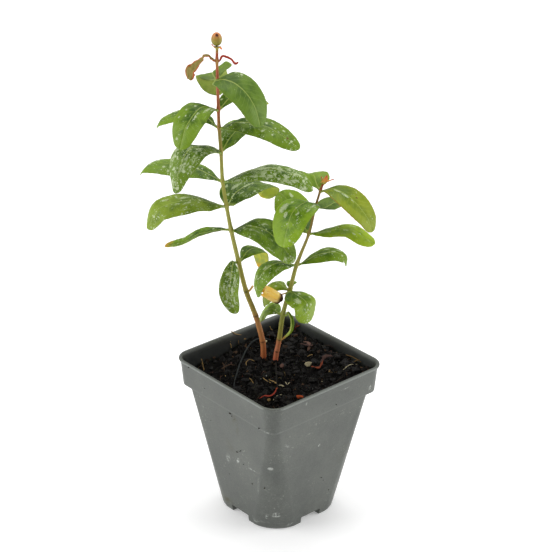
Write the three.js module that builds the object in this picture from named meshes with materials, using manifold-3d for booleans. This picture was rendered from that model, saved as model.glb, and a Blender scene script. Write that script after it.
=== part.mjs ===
// A young St John's wort in a square nursery pot, with two leafy shoots.
// Millimetres, +Z up. The origin is under the middle of the pot, on the plane it stands on.
import * as THREE from 'three';
import { mergeVertices } from 'three/addons/utils/BufferGeometryUtils.js';
import Module from 'manifold-3d';

const wasm = await Module();
wasm.setup();

// Pot sizes
const POT_HEIGHT = 96.8;
const RIM_HALF = 45;
const RIM_CORNER = 10.4;
const LIP_HEIGHT = 1.5;
const LIP_WIDTH = 2;
const BAND_TOP_HALF = 43.9;
const BAND_FOOT_HALF = 42;
const BAND_HEIGHT = 17.9;
const BODY_TOP_HALF = 39.1;
const BODY_FOOT_HALF = 29.5;
const BODY_TOP_CORNER = 5;
const BODY_FOOT_CORNER = 16.8;
const POT_WALL = 1.4;
const LEDGE = 1.2;
const FOOT_HEIGHT = 4.3;
const FLOOR_TOP = 6;
const NOTCH_WIDTH = 15;
const CENTRE_PAD_RADIUS = 7;
const CORNER_STEPS = 7;

// Soil sizes
const GAP = 0.3;
const SOIL_TOP = 85;
const SOIL_TOP_HALF = 40.8;
const SOIL_RELIEF = 0.9;
const SOIL_RISE = 5.5;
const WALL_SLOPE = 0.1;
const SOIL_CALM_RADIUS = 20;
const SOIL_SIDE_STEPS = 6;

// The plant is turned in its pot: its own frame has x to its right, y to its back and z up
const PLANT_TURN = THREE.MathUtils.degToRad(-41.6);

// Leaf sizes
const LEAF_THICKNESS = 0.7;
const PETIOLE_THICKNESS = 1.1;
const STALK_CLEARANCE = 0.75;

// Middle line of each stem in the plant's frame, from the soil upwards, with its radius
const TALL_STEM = [
  { at: [-9.3, 22.5, SOIL_TOP + GAP], radius: 1.6 },
  { at: [-9.9, 22.3, 97], radius: 1.55 },
  { at: [-14.2, 22, 114.5], radius: 1.5 },
  { at: [-19.9, 21.5, 131], radius: 1.4 },
  { at: [-24.3, 21, 150.5], radius: 1.25 },
  { at: [-28.6, 20.5, 171], radius: 1.15 },
  { at: [-31.2, 20, 186.5], radius: 1.05 },
  { at: [-33.4, 19.5, 202.2], radius: 1 },
  { at: [-34.2, 19, 220.5], radius: 0.95 },
  { at: [-35.2, 18.5, 235.5], radius: 0.9 },
  { at: [-35.5, 18, 246.5], radius: 0.85 },
  { at: [-35.9, 17.5, 263.5], radius: 0.8 },
  { at: [-36.1, 17, 275.5], radius: 0.75 },
  { at: [-36, 17, 283.8], radius: 0.8 },
];
const SHORT_STEM = [
  { at: [-2.2, 19.6, SOIL_TOP + GAP], radius: 1.45 },
  { at: [-1.3, 19.5, 92], radius: 1.4 },
  { at: [0.1, 19.3, 100], radius: 1.35 },
  { at: [2.1, 19, 117], radius: 1.3 },
  { at: [6.1, 18.5, 133.5], radius: 1.2 },
  { at: [9.9, 18, 150.5], radius: 1.15 },
  { at: [16.7, 17, 171], radius: 1 },
  { at: [19.9, 16.5, 187], radius: 0.9 },
  { at: [22.8, 16, 198.5], radius: 0.8 },
  { at: [24.3, 16, 202.6], radius: 0.8 },
];
const STEM_TOP_RADIUS = 0.8;
const STEM_SIDES = 10;
const STEM_STEPS_PER_JOINT = 2;

// Half width of a leaf blade along its length, as a share of its full half width
const BLADE_OUTLINE = [
  { along: 0.0, share: 0.1 },
  { along: 0.05, share: 0.24 },
  { along: 0.13, share: 0.58 },
  { along: 0.25, share: 0.86 },
  { along: 0.38, share: 0.98 },
  { along: 0.5, share: 1.0 },
  { along: 0.63, share: 0.97 },
  { along: 0.76, share: 0.87 },
  { along: 0.87, share: 0.69 },
  { along: 0.95, share: 0.48 },
  { along: 1.0, share: 0.16 },
];
// The same for a leaf that sits close on the stem with a broad foot
const BROAD_OUTLINE = [
  { along: 0.0, share: 0.22 },
  { along: 0.05, share: 0.48 },
  { along: 0.13, share: 0.74 },
  { along: 0.25, share: 0.93 },
  { along: 0.38, share: 1.0 },
  { along: 0.5, share: 0.98 },
  { along: 0.63, share: 0.94 },
  { along: 0.76, share: 0.84 },
  { along: 0.87, share: 0.67 },
  { along: 0.95, share: 0.47 },
  { along: 1.0, share: 0.16 },
];
// A dry strip, wide at its free end
const STRIP_OUTLINE = [
  { along: 0.0, share: 0.25 },
  { along: 0.25, share: 0.35 },
  { along: 0.5, share: 0.65 },
  { along: 0.75, share: 1.0 },
  { along: 0.9, share: 0.95 },
  { along: 1.0, share: 0.4 },
];
// The rolled end of a dead leaf on its thin stalk
const ROLL_OUTLINE = [
  { along: 0.0, share: 0.1 },
  { along: 0.3, share: 0.12 },
  { along: 0.36, share: 0.9 },
  { along: 0.5, share: 1.0 },
  { along: 0.9, share: 1.0 },
  { along: 1.0, share: 0.85 },
];
const BLADE_ACROSS = [-1, -0.55, 0, 0.55, 1];

// Leaves. joint is the stem joint they stand at, heading is degrees from the plant's right towards its
// back, side is the side of the stem it stands on where that differs, path is the middle vein in mm
// from the joint, clear is the gap at its foot, lift is the height of its foot over the joint, width is
// the full blade width, roll raises the left margin in degrees at foot, middle and tip, fold lifts both
// halves, curl bends them further out.
const TALL_LEAVES = [
  { name: 'tall_leaf_1_left', joint: 4, heading: 260, side: 215, width: 12.5, fold: 8, curl: 10,
    roll: [0, 0, 0], path: [[-3.2, -2.5, 0], [-4.2, -5, -7.5], [-5.2, -7, -17], [-1.5, -8, -30.5]] },
  { name: 'tall_leaf_1_right', joint: 4, heading: 45, width: 14.5, fold: 5, curl: -10, roll: [0, 0, 0],
    path: [[5.5, 6, 4], [11.5, 11, 3.5], [13.5, 14, -3.5], [13.5, 13, -11.5]] },
  { name: 'tall_leaf_2_left', joint: 5, heading: 165, width: 10, fold: 5, curl: 5, roll: [0, -12, -15],
    path: [[-7, 2, -1], [-15, 3, -3], [-20.5, 4, -5.5], [-26, 5.5, -9.5],
      [-31, 6.5, -12], [-39.5, 8, -14.5]] },
  { name: 'tall_leaf_2_right', joint: 5, heading: 335, width: 22, fold: 5, curl: -12, roll: [10, 15, 15],
    path: [[11, -6, 5.5], [21.5, -10, 3.5], [30.5, -13, -4.5], [36.5, -16, -13]] },
  { name: 'tall_leaf_3_left', joint: 6, heading: 200, width: 20.5, fold: -5, curl: -8, roll: [0, -15, -15],
    path: [[-10.5, -5, 4.4], [-21.5, -9, 7.2], [-38, -13, 3.8], [-44.8, -15, -8.5]] },
  { name: 'tall_leaf_3_right', joint: 6, heading: 50, width: 26, fold: 8, curl: -5, roll: [0, 0, 0],
    foot: 'broad', path: [[5, 7, 5], [13.4, 14, 7.5], [22.6, 21, 4.5], [20, 20, -3]] },
  { name: 'tall_leaf_4_left', joint: 7, heading: 155, width: 18, fold: -5, curl: -8, roll: [0, -15, 0],
    path: [[-13.5, 8, 3.5], [-30, 15, 4], [-43, 20, 2], [-48.5, 22, -5]] },
  { name: 'tall_leaf_4_right', joint: 7, heading: 335, width: 18, fold: -8, curl: -12, roll: [0, 15, 15],
    path: [[12.5, -7, 8.4], [27, -12, 13], [42.5, -17, 10.5], [51.5, -20, 3]] },
  { name: 'tall_leaf_5_left', joint: 8, foot: 'broad', heading: 235, width: 22, fold: -5, curl: -10,
    roll: [0, 0, 0], path: [[-5.6, -5, 5], [-16, -12, 7], [-21.6, -19, -1], [-23.6, -25, -15.5]] },
  { name: 'tall_leaf_5_right', joint: 8, heading: 60, width: 17, fold: 10, curl: 0, roll: [0, 0, 0],
    path: [[5.4, 8, 5.9], [11.6, 15, 9.4], [20.5, 24, 9]] },
  { name: 'tall_leaf_6_left', joint: 9, heading: 155, width: 14, fold: -5, curl: -8, roll: [0, -15, -10],
    path: [[-8, 5, 4], [-22.5, 12, 3.6], [-32.5, 16, -1.2], [-36.5, 17, -6.6]] },
  { name: 'tall_leaf_6_right', joint: 9, heading: 335, width: 19, fold: 0, curl: -10, roll: [5, 15, 15],
    path: [[12, -7, 6], [29, -14, 5], [45.5, -20, -4.5]] },
  { name: 'tall_leaf_7_left', joint: 10, heading: 235, width: 19, fold: 5, curl: -5, roll: [0, -5, -5],
    path: [[-8.5, -10, 5], [-16.5, -18, -2.5], [-20.5, -24, -15]] },
  { name: 'tall_leaf_7_right', joint: 10, heading: 45, width: 15, fold: 5, curl: 0, roll: [0, 0, 0],
    path: [[6.5, 7.5, 4], [17, 15, 3.6], [27.5, 20, -4]] },
  { name: 'tall_leaf_8_left', joint: 11, heading: 115, width: 20, fold: 8, curl: 0, foot: 'broad',
    roll: [-14, -16, -10],
    path: [[-2.6, 5, 1.8], [-3.2, 9.5, 1.6], [-1.5, 12.8, -3.4], [1.6, 14.8, -8], [4.4, 16, -11]] },
  { name: 'tall_leaf_8_right', joint: 11, heading: 320, side: 250, clear: 3.7, width: 22, fold: 4, curl: -8,
    lift: 1, foot: 'broad', roll: [15, 10, 5],
    path: [[4.2, -7, 3.3], [11.4, -9.9, 1], [17, -13.2, -3.3], [21.6, -17, -10.2], [24.2, -19.5, -19.6]] },
];
const SHORT_LEAVES = [
  { name: 'short_leaf_1_left', joint: 3, heading: 160, width: 16, fold: -10, curl: -15, roll: [0, -15, 0],
    path: [[-7, 5, 2.5], [-12.6, 9, -3], [-13.6, 12, -12.5]] },
  { name: 'short_leaf_1_right', joint: 3, heading: 330, clear: 0.95, width: 3.6, fold: 20, curl: 20,
    roll: [0, 0, 0], path: [[3, -2, 2], [5, -6, -1.5], [4, -8, -7], [-0.5, -9, -13]] },
  { name: 'short_leaf_2_right', joint: 4, heading: 320, side: 255, clear: 1.6, width: 20, fold: -5,
    curl: -8, foot: 'broad', roll: [0, 0, 0], path: [[3.5, -7, 0.5], [10, -12.5, -3], [10, -16, -14]] },
  { name: 'short_leaf_2_left', joint: 4, heading: 150, width: 20, fold: -10, curl: -10, roll: [0, 0, 0],
    path: [[-8, 5, 2.4], [-13.6, 8, -2], [-14.6, 9, -15]] },
  { name: 'short_leaf_2_back', joint: 4, heading: 60, clear: 1.2, width: 5.5, fold: 0, curl: 0,
    roll: [0, 0, 0], path: [[0.5, 4, 2.5], [3.5, 7, 2]] },
  { name: 'short_leaf_3_left', joint: 5, heading: 210, width: 15, fold: -5, curl: -10, roll: [0, -10, 0],
    path: [[-10.6, -6, 3.5], [-19, -10, 0], [-23, -12, -8], [-22.5, -13, -15.5]] },
  { name: 'short_leaf_3_right', joint: 5, heading: 5, width: 12.5, fold: -5, curl: -10, roll: [0, 20, 15],
    path: [[10.5, 1, 5], [20.8, 2, 7], [28.6, 3, 3.6], [29.4, 3, -2.2]] },
  { name: 'short_leaf_4_right', joint: 6, heading: 340, width: 16, fold: 0, curl: -8, roll: [0, 5, 5],
    path: [[11, -5, 4], [23.2, -10, 7], [37.6, -14, 0]] },
  { name: 'short_leaf_4_left', joint: 6, heading: 130, width: 26, fold: 0, curl: -5, roll: [0, 0, 0],
    path: [[-6.5, 6, 9.3], [-12.5, 10, 16.3], [-17.5, 13, 20.3]] },
  { name: 'short_leaf_5_left', joint: 7, lift: 3.5, heading: 235, side: 262, width: 24, fold: 0, curl: -5,
    foot: 'broad', roll: [0, 0, 0], path: [[-6.4, -8, 6.9], [-13.8, -16, 2.3], [-18.4, -25, -13.4]] },
  { name: 'short_leaf_5_right', joint: 7, heading: 45, width: 16, fold: 5, curl: 0, roll: [0, 0, 0],
    path: [[6, 6, -2], [13, 12, -1], [21, 18, -3.5]] },
  { name: 'short_leaf_6_right', joint: 8, heading: 325, width: 20.5, fold: 5, curl: -8, roll: [0, 5, 0],
    path: [[7.5, -5, 3], [16.5, -10, 0], [25.6, -16, -8.5], [29.4, -19, -17.4]] },
  { name: 'short_leaf_6_left', joint: 8, heading: 115, width: 18, fold: 15, curl: 0, roll: [10, 10, 5],
    path: [[-2.5, 4.5, 3], [-4, 10, 5], [-8, 18, 2]] },
];

// Withered pieces: narrow dry strips
const DRY_STRIPS = [
  { name: 'withered_leaf_left', stem: 'tall', joint: 12, heading: 180, width: 7, roll: [0, -30, -60],
    shape: 'strip', path: [[-4, 0.5, 2], [-6, 0.5, 3], [-9, 0.5, 0], [-12.5, 0.5, -3.5], [-15, 0.5, -6.5],
      [-15.5, 0.5, -11.5]] },
  { name: 'withered_leaf_right', stem: 'tall', joint: 12, heading: 0, width: 2, roll: [0, 0, 0],
    shape: 'strip', path: [[3.5, -1, 3], [7.5, -1, 1.5], [10, -2, -1], [12, -2, -0.5]] },
  { name: 'leaf_stub', stem: 'tall', joint: 3, heading: 15, width: 1.2, roll: [0, 0, 0],
    shape: 'strip', path: [[3, 0.5, 1.2], [4.2, 1, 3]] },
  { name: 'dead_yellow_leaf', stem: 'short', joint: 4, heading: 190, side: 215, clear: 1.2, width: 14,
    fold: -15, curl: -60, shape: 'roll', roll: [0, 0, 0],
    path: [[-3, -3, -1.5], [-6, -5, -2], [-9.5, -6, 3], [-15, -6, 6.5]] },
];

// Fruit at the top of the tall shoot and bud remains at the top of the short one
const FRUIT_CENTRE = [-36.2, 17, 288];
const FRUIT_RADIUS = 3.1;
const FRUIT_HALF_HEIGHT = 3.9;
const FRUIT_SIDES = 14;
const SEPAL_CLEAR = 0.45;
const SEPALS = [
  { name: 'fruit_sepal_left', top: [-36, 17, 283.4], heading: 190, width: 2,
    path: [[-2.5, -0.6, 0], [-3.9, -0.8, 1.7]] },
  { name: 'fruit_sepal_right', top: [-36, 17, 283.4], heading: 340, width: 1.8,
    path: [[2, -1, 0.2], [3, -1.2, -1.2]] },
];
const BUD_TOP = [24.3, 16, 203.2];
const BUD_REMAINS = [
  { name: 'bud_remains_left', top: BUD_TOP, heading: 175, width: 1.4,
    path: [[-1.2, 0, 1.2], [-2, 0, 3.4]] },
  { name: 'bud_remains_middle', top: BUD_TOP, heading: 80, width: 2.2,
    path: [[0.5, 1.4, 2], [1.2, 1.5, 4.8]] },
  { name: 'bud_remains_right', top: BUD_TOP, heading: 350, width: 1.4,
    path: [[2.4, -0.5, 1], [5.2, -1, 2.2]] },
];

const PLASTIC = new THREE.MeshStandardMaterial({ name: 'pot plastic', color: 0x6d716c, roughness: 0.6 });
const PEAT = new THREE.MeshStandardMaterial({ name: 'peat', color: 0x1c1611, roughness: 1 });
const BARK = new THREE.MeshStandardMaterial({ name: 'green bark', color: 0x7d7a38, roughness: 0.8 });
const LEAF = new THREE.MeshStandardMaterial({ name: 'leaf', color: 0x5c8534, roughness: 0.6 });
const DRY = new THREE.MeshStandardMaterial({ name: 'dry leaf', color: 0xa8743a, roughness: 0.9 });
const FRUIT = new THREE.MeshStandardMaterial({ name: 'fruit', color: 0xb09a58, roughness: 0.6 });

const group = new THREE.Group();
group.name = 'potted_st_johns_wort';

function vec(list) {
  return new THREE.Vector3(list[0], list[1], list[2]);
}

function addMesh(name, geometry, material) {
  const mesh = new THREE.Mesh(geometry, material);
  mesh.name = name;
  group.add(mesh);
  return mesh;
}

// Joins a row of equal rings of points into one closed body, with a flat fan at each end
function loft(rings) {
  const count = rings[0].length;
  const positions = [];
  const index = [];
  for (const ring of rings) {
    for (const point of ring) {
      positions.push(point.x, point.y, point.z);
    }
  }
  for (let r = 0; r < rings.length - 1; r += 1) {
    for (let i = 0; i < count; i += 1) {
      const a = r * count + i;
      const b = r * count + ((i + 1) % count);
      const c = a + count;
      const d = b + count;
      index.push(a, b, d, a, d, c);
    }
  }
  for (const last of [false, true]) {
    const ring = last ? rings[rings.length - 1] : rings[0];
    const start = last ? (rings.length - 1) * count : 0;
    const middle = new THREE.Vector3();
    ring.forEach((point) => middle.add(point));
    middle.divideScalar(count);
    const centre = positions.length / 3;
    positions.push(middle.x, middle.y, middle.z);
    for (let i = 0; i < count; i += 1) {
      const a = start + i;
      const b = start + ((i + 1) % count);
      if (last) {
        index.push(a, b, centre);
      } else {
        index.push(b, a, centre);
      }
    }
  }
  const geometry = new THREE.BufferGeometry();
  geometry.setAttribute('position', new THREE.Float32BufferAttribute(positions, 3));
  geometry.setIndex(index);
  geometry.computeVertexNormals();
  return geometry;
}

// A square with round corners, anticlockwise from above, with its straight sides in sideSteps lengths
function roundedSquare(half, corner, z, sideSteps = 1) {
  const points = [];
  const reach = half - corner;
  for (let quarter = 0; quarter < 4; quarter += 1) {
    const middle = (quarter + 0.5) * Math.PI / 2;
    const cx = Math.SQRT2 * Math.cos(middle) * reach;
    const cy = Math.SQRT2 * Math.sin(middle) * reach;
    for (let step = 0; step <= CORNER_STEPS; step += 1) {
      const angle = (quarter + step / CORNER_STEPS) * Math.PI / 2;
      points.push(new THREE.Vector3(cx + corner * Math.cos(angle), cy + corner * Math.sin(angle), z));
    }
    const last = points[points.length - 1];
    const ahead = (quarter + 2) * Math.PI / 2;
    for (let step = 1; step < sideSteps; step += 1) {
      const run = 2 * reach * step / sideSteps;
      points.push(new THREE.Vector3(last.x + Math.cos(ahead) * run, last.y + Math.sin(ahead) * run, z));
    }
  }
  return points;
}

function toManifold(geometry) {
  const plain = geometry.clone();
  plain.deleteAttribute('normal');
  plain.deleteAttribute('uv');
  const merged = mergeVertices(plain, 1e-4);
  return new wasm.Manifold(new wasm.Mesh({
    numProp: 3,
    vertProperties: new Float32Array(merged.attributes.position.array),
    triVerts: new Uint32Array(merged.index.array),
  }));
}

function fromManifold(solid) {
  const mesh = solid.getMesh();
  const geometry = new THREE.BufferGeometry();
  geometry.setAttribute('position', new THREE.Float32BufferAttribute(Array.from(mesh.vertProperties), 3));
  geometry.setIndex(Array.from(mesh.triVerts));
  geometry.computeVertexNormals();
  return geometry;
}

// Half width and corner radius of the tapering body at a height
function bodyAt(z) {
  const share = z / (POT_HEIGHT - BAND_HEIGHT);
  return {
    half: THREE.MathUtils.lerp(BODY_FOOT_HALF, BODY_TOP_HALF, share),
    corner: THREE.MathUtils.lerp(BODY_FOOT_CORNER, BODY_TOP_CORNER, share),
  };
}

function buildPot() {
  const bandFoot = POT_HEIGHT - BAND_HEIGHT;
  const lipFoot = POT_HEIGHT - LIP_HEIGHT;
  const outer = [];
  outer.push(roundedSquare(BODY_FOOT_HALF - 0.7, BODY_FOOT_CORNER - 0.7, 0));
  for (const z of [0.8, 15, 30, 45, 60, bandFoot]) {
    const body = bodyAt(z);
    outer.push(roundedSquare(body.half, body.corner, z));
  }
  outer.push(roundedSquare(BAND_FOOT_HALF - 0.3, 6, bandFoot));
  outer.push(roundedSquare(BAND_FOOT_HALF, 6.3, bandFoot + 0.8));
  outer.push(roundedSquare(BAND_TOP_HALF, 9.3, lipFoot - 0.6));
  outer.push(roundedSquare(RIM_HALF, RIM_CORNER, lipFoot));
  outer.push(roundedSquare(RIM_HALF, RIM_CORNER, POT_HEIGHT - 0.4));
  outer.push(roundedSquare(RIM_HALF - 0.4, RIM_CORNER - 0.4, POT_HEIGHT));

  const inner = [];
  for (const z of [FLOOR_TOP, 15, 30, 45, 60, bandFoot]) {
    const body = bodyAt(z);
    inner.push(roundedSquare(body.half - POT_WALL, body.corner - POT_WALL, z));
  }
  inner.push(roundedSquare(BODY_TOP_HALF - POT_WALL, BODY_TOP_CORNER - POT_WALL, bandFoot + LEDGE));
  inner.push(roundedSquare(BAND_FOOT_HALF - POT_WALL, 5, bandFoot + LEDGE + 0.6));
  inner.push(roundedSquare(RIM_HALF - LIP_WIDTH, RIM_CORNER - LIP_WIDTH, POT_HEIGHT));
  inner.push(roundedSquare(RIM_HALF - LIP_WIDTH, RIM_CORNER - LIP_WIDTH, POT_HEIGHT + 5));

  const channelLong = new THREE.BoxGeometry(BODY_FOOT_HALF * 4, NOTCH_WIDTH, FOOT_HEIGHT * 2);
  const channelCross = new THREE.BoxGeometry(NOTCH_WIDTH, BODY_FOOT_HALF * 4, FOOT_HEIGHT * 2);
  const pad = new THREE.CylinderGeometry(CENTRE_PAD_RADIUS, CENTRE_PAD_RADIUS, FOOT_HEIGHT + 0.5, 24);
  pad.rotateX(Math.PI / 2);
  pad.translate(0, 0, (FOOT_HEIGHT + 0.5) / 2);

  const solid = toManifold(loft(outer))
    .subtract(toManifold(loft(inner)))
    .subtract(toManifold(channelLong))
    .subtract(toManifold(channelCross))
    .add(toManifold(pad));
  addMesh('pot', fromManifold(solid), PLASTIC);
}

// The plant's frame to the pot's frame
function toPot(point) {
  return point.clone().applyAxisAngle(new THREE.Vector3(0, 0, 1), PLANT_TURN);
}

function soilHeight(x, y) {
  const feet = [TALL_STEM[0], SHORT_STEM[0]].map((row) => toPot(vec(row.at)));
  const nearest = Math.min(...feet.map((foot) => Math.hypot(x - foot.x, y - foot.y)));
  const calm = THREE.MathUtils.smoothstep(nearest, SOIL_CALM_RADIUS, SOIL_CALM_RADIUS * 2.5);
  const wave = Math.sin(x * 0.21 + 1.3) * Math.cos(y * 0.17 + 0.4) + 0.5 * Math.sin(x * 0.37 - y * 0.31);
  // The soil lies higher along the back and right walls
  const right = SOIL_RISE * THREE.MathUtils.smoothstep(x, 16, 40);
  const towardsRight = THREE.MathUtils.smoothstep(x, -35, 15);
  const back = 0.8 * SOIL_RISE * THREE.MathUtils.smoothstep(y, 28, 41) * towardsRight;
  return SOIL_TOP + SOIL_RELIEF * wave * calm + Math.max(right, back);
}

function buildSoil() {
  const bandFoot = POT_HEIGHT - BAND_HEIGHT;
  const inset = POT_WALL + GAP;
  const rings = [];
  for (const z of [FLOOR_TOP + GAP, 15, 30, 45, 60, bandFoot]) {
    const body = bodyAt(z);
    rings.push(roundedSquare(body.half - inset, body.corner - inset, z, SOIL_SIDE_STEPS));
  }
  const ledge = bandFoot + LEDGE;
  const neck = { half: BODY_TOP_HALF - inset, corner: BODY_TOP_CORNER - inset };
  rings.push(roundedSquare(neck.half, neck.corner, ledge + 0.4, SOIL_SIDE_STEPS));
  rings.push(roundedSquare(BAND_FOOT_HALF - inset - 0.2, 4.7, ledge + 1.3, SOIL_SIDE_STEPS));
  const edge = roundedSquare(SOIL_TOP_HALF, 5.6, SOIL_TOP, SOIL_SIDE_STEPS);
  for (const share of [1, 0.85, 0.68, 0.5, 0.32, 0.14]) {
    const ring = edge.map((point) => {
      const x = point.x * share;
      const y = point.y * share;
      const z = soilHeight(x, y);
      // The edge follows the sloping wall where the soil lies high
      const spread = share === 1 ? 1 + (z - SOIL_TOP) * WALL_SLOPE / SOIL_TOP_HALF : 1;
      return new THREE.Vector3(x * spread, y * spread, z);
    });
    rings.push(ring);
  }
  addMesh('soil', loft(rings), PEAT);
}

// Rings across a curved line, without twist
function tube(points, radii, sides) {
  const rings = [];
  let side = null;
  for (let i = 0; i < points.length; i += 1) {
    const before = points[Math.max(i - 1, 0)];
    const after = points[Math.min(i + 1, points.length - 1)];
    const along = after.clone().sub(before).normalize();
    if (side === null) {
      side = new THREE.Vector3(1, 0, 0);
    }
    side = side.clone().addScaledVector(along, -side.dot(along)).normalize();
    const other = along.clone().cross(side);
    const ring = [];
    for (let k = 0; k < sides; k += 1) {
      const angle = 2 * Math.PI * k / sides;
      const point = points[i].clone();
      point.addScaledVector(side, radii[i] * Math.cos(angle));
      point.addScaledVector(other, radii[i] * Math.sin(angle));
      ring.push(point);
    }
    rings.push(ring);
  }
  return rings;
}

function buildStem(name, rows) {
  const curve = new THREE.CatmullRomCurve3(rows.map((row) => vec(row.at)), false, 'catmullrom', 0.5);
  const steps = (rows.length - 1) * STEM_STEPS_PER_JOINT;
  const points = [];
  const radii = [];
  for (let i = 0; i <= steps; i += 1) {
    const share = i / steps;
    const place = share * (rows.length - 1);
    const low = Math.min(Math.floor(place), rows.length - 2);
    points.push(curve.getPoint(share));
    radii.push(THREE.MathUtils.lerp(rows[low].radius, rows[low + 1].radius, place - low));
  }
  const rings = tube(points, radii, STEM_SIDES);
  // The cut at the soil is flat and level
  rings[0] = rings[0].map((point) => new THREE.Vector3(point.x, point.y, rows[0].at[2]));
  const turned = rings.map((ring) => ring.map(toPot));
  addMesh(name, loft(turned), BARK);
}

function shareAt(outline, along) {
  for (let i = 0; i < outline.length - 1; i += 1) {
    const a = outline[i];
    const b = outline[i + 1];
    if (along <= b.along) {
      return THREE.MathUtils.lerp(a.share, b.share, (along - a.along) / (b.along - a.along));
    }
  }
  return outline[outline.length - 1].share;
}

function threeWay(values, along) {
  if (along < 0.5) {
    return THREE.MathUtils.lerp(values[0], values[1], along * 2);
  }
  return THREE.MathUtils.lerp(values[1], values[2], along * 2 - 1);
}

// One leaf or strip: a curved blade of even thickness, round and thicker at its foot
function buildBlade(row, joint, radius, outline, stations, material) {
  const heading = THREE.MathUtils.degToRad(row.heading);
  const level = new THREE.Vector3(-Math.sin(heading), Math.cos(heading), 0);
  const side = THREE.MathUtils.degToRad(row.side ?? row.heading);
  const foot = joint.clone();
  const away = radius + (row.clear ?? STALK_CLEARANCE);
  foot.x += Math.cos(side) * away;
  foot.y += Math.sin(side) * away;
  foot.z += row.lift ?? 0;
  const points = [foot];
  for (const place of row.path) {
    points.push(joint.clone().add(vec(place)));
  }
  const curve = new THREE.CatmullRomCurve3(points, false, 'catmullrom', 0.5);
  curve.arcLengthDivisions = 400;
  const fold = THREE.MathUtils.degToRad(row.fold ?? 0);
  const curl = THREE.MathUtils.degToRad(row.curl ?? 0);
  const rings = [];
  for (const along of stations) {
    const centre = curve.getPointAt(along);
    const tangent = curve.getTangentAt(along);
    const left = level.clone().addScaledVector(tangent, -level.dot(tangent)).normalize();
    const normal = tangent.clone().cross(left);
    const roll = THREE.MathUtils.degToRad(threeWay(row.roll ?? [0, 0, 0], along));
    const leftTurned = left.clone().multiplyScalar(Math.cos(roll)).addScaledVector(normal, Math.sin(roll));
    const up = tangent.clone().cross(leftTurned);
    const half = Math.max(shareAt(outline, along) * row.width / 2, 0.35);
    const footShare = Math.max(0, 1 - along / 0.08);
    const thickness = THREE.MathUtils.lerp(LEAF_THICKNESS, Math.min(PETIOLE_THICKNESS, row.width), footShare);
    const top = [];
    const bottom = [];
    for (const across of BLADE_ACROSS) {
      const bend = fold + curl * Math.abs(across);
      const sideways = across * half * Math.cos(bend);
      const lift = Math.abs(across) * half * Math.sin(bend);
      const base = centre.clone().addScaledVector(leftTurned, sideways).addScaledVector(up, lift);
      const tilt = bend * -Math.sign(across);
      const face = up.clone().multiplyScalar(Math.cos(tilt)).addScaledVector(leftTurned, Math.sin(tilt));
      top.push(base.clone().addScaledVector(face, thickness / 2));
      bottom.push(base.clone().addScaledVector(face, -thickness / 2));
    }
    rings.push([...top, ...bottom.reverse()].reverse().map(toPot));
  }
  addMesh(row.name, loft(rings), material);
}

function buildFruit() {
  const rings = [];
  const profile = [-0.97, -0.8, -0.5, -0.15, 0.2, 0.55, 0.82, 0.97];
  for (const height of profile) {
    const radius = FRUIT_RADIUS * Math.sqrt(1 - height * height);
    const ring = [];
    for (let k = 0; k < FRUIT_SIDES; k += 1) {
      const angle = 2 * Math.PI * k / FRUIT_SIDES;
      ring.push(new THREE.Vector3(FRUIT_CENTRE[0] + radius * Math.cos(angle),
        FRUIT_CENTRE[1] + radius * Math.sin(angle), FRUIT_CENTRE[2] + FRUIT_HALF_HEIGHT * height));
    }
    rings.push(ring.map(toPot));
  }
  addMesh('fruit', loft(rings), FRUIT);
}

buildPot();
buildSoil();
buildStem('tall_stem', TALL_STEM);
buildStem('short_stem', SHORT_STEM);

const BLADE_STATIONS = [0, 0.05, 0.13, 0.25, 0.38, 0.5, 0.63, 0.76, 0.87, 0.95, 1];
const STRIP_STATIONS = [0, 0.12, 0.25, 0.36, 0.5, 0.65, 0.8, 0.9, 1];
const FEET = { broad: BROAD_OUTLINE, narrow: BLADE_OUTLINE };
const SHAPES = { strip: STRIP_OUTLINE, roll: ROLL_OUTLINE };
for (const row of TALL_LEAVES) {
  const joint = TALL_STEM[row.joint];
  buildBlade(row, vec(joint.at), joint.radius, FEET[row.foot ?? 'narrow'], BLADE_STATIONS, LEAF);
}
for (const row of SHORT_LEAVES) {
  const joint = SHORT_STEM[row.joint];
  buildBlade(row, vec(joint.at), joint.radius, FEET[row.foot ?? 'narrow'], BLADE_STATIONS, LEAF);
}
for (const row of DRY_STRIPS) {
  const joint = (row.stem === 'tall' ? TALL_STEM : SHORT_STEM)[row.joint];
  buildBlade(row, vec(joint.at), joint.radius, SHAPES[row.shape], STRIP_STATIONS, DRY);
}
for (const row of [...SEPALS, ...BUD_REMAINS]) {
  const seated = { ...row, clear: SEPAL_CLEAR };
  buildBlade(seated, vec(row.top), STEM_TOP_RADIUS, STRIP_OUTLINE, STRIP_STATIONS, DRY);
}
buildFruit();

export default group;
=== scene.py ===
# The finish of a young St John's wort in a square nursery pot: leaves, stems, fruit, peat and plastic.
# Blender metres; the plant's own sizes are written in millimetres and turned into metres when placed.
import math
import random

import bmesh
import bpy
import numpy as np
from mathutils import Matrix, Vector, noise


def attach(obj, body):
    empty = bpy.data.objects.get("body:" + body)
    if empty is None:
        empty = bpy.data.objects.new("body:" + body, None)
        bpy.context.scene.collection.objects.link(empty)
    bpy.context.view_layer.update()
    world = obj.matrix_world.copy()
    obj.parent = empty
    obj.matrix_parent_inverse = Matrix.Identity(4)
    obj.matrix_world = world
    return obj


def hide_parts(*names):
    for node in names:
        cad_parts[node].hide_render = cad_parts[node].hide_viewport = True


MM = 0.001

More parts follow.
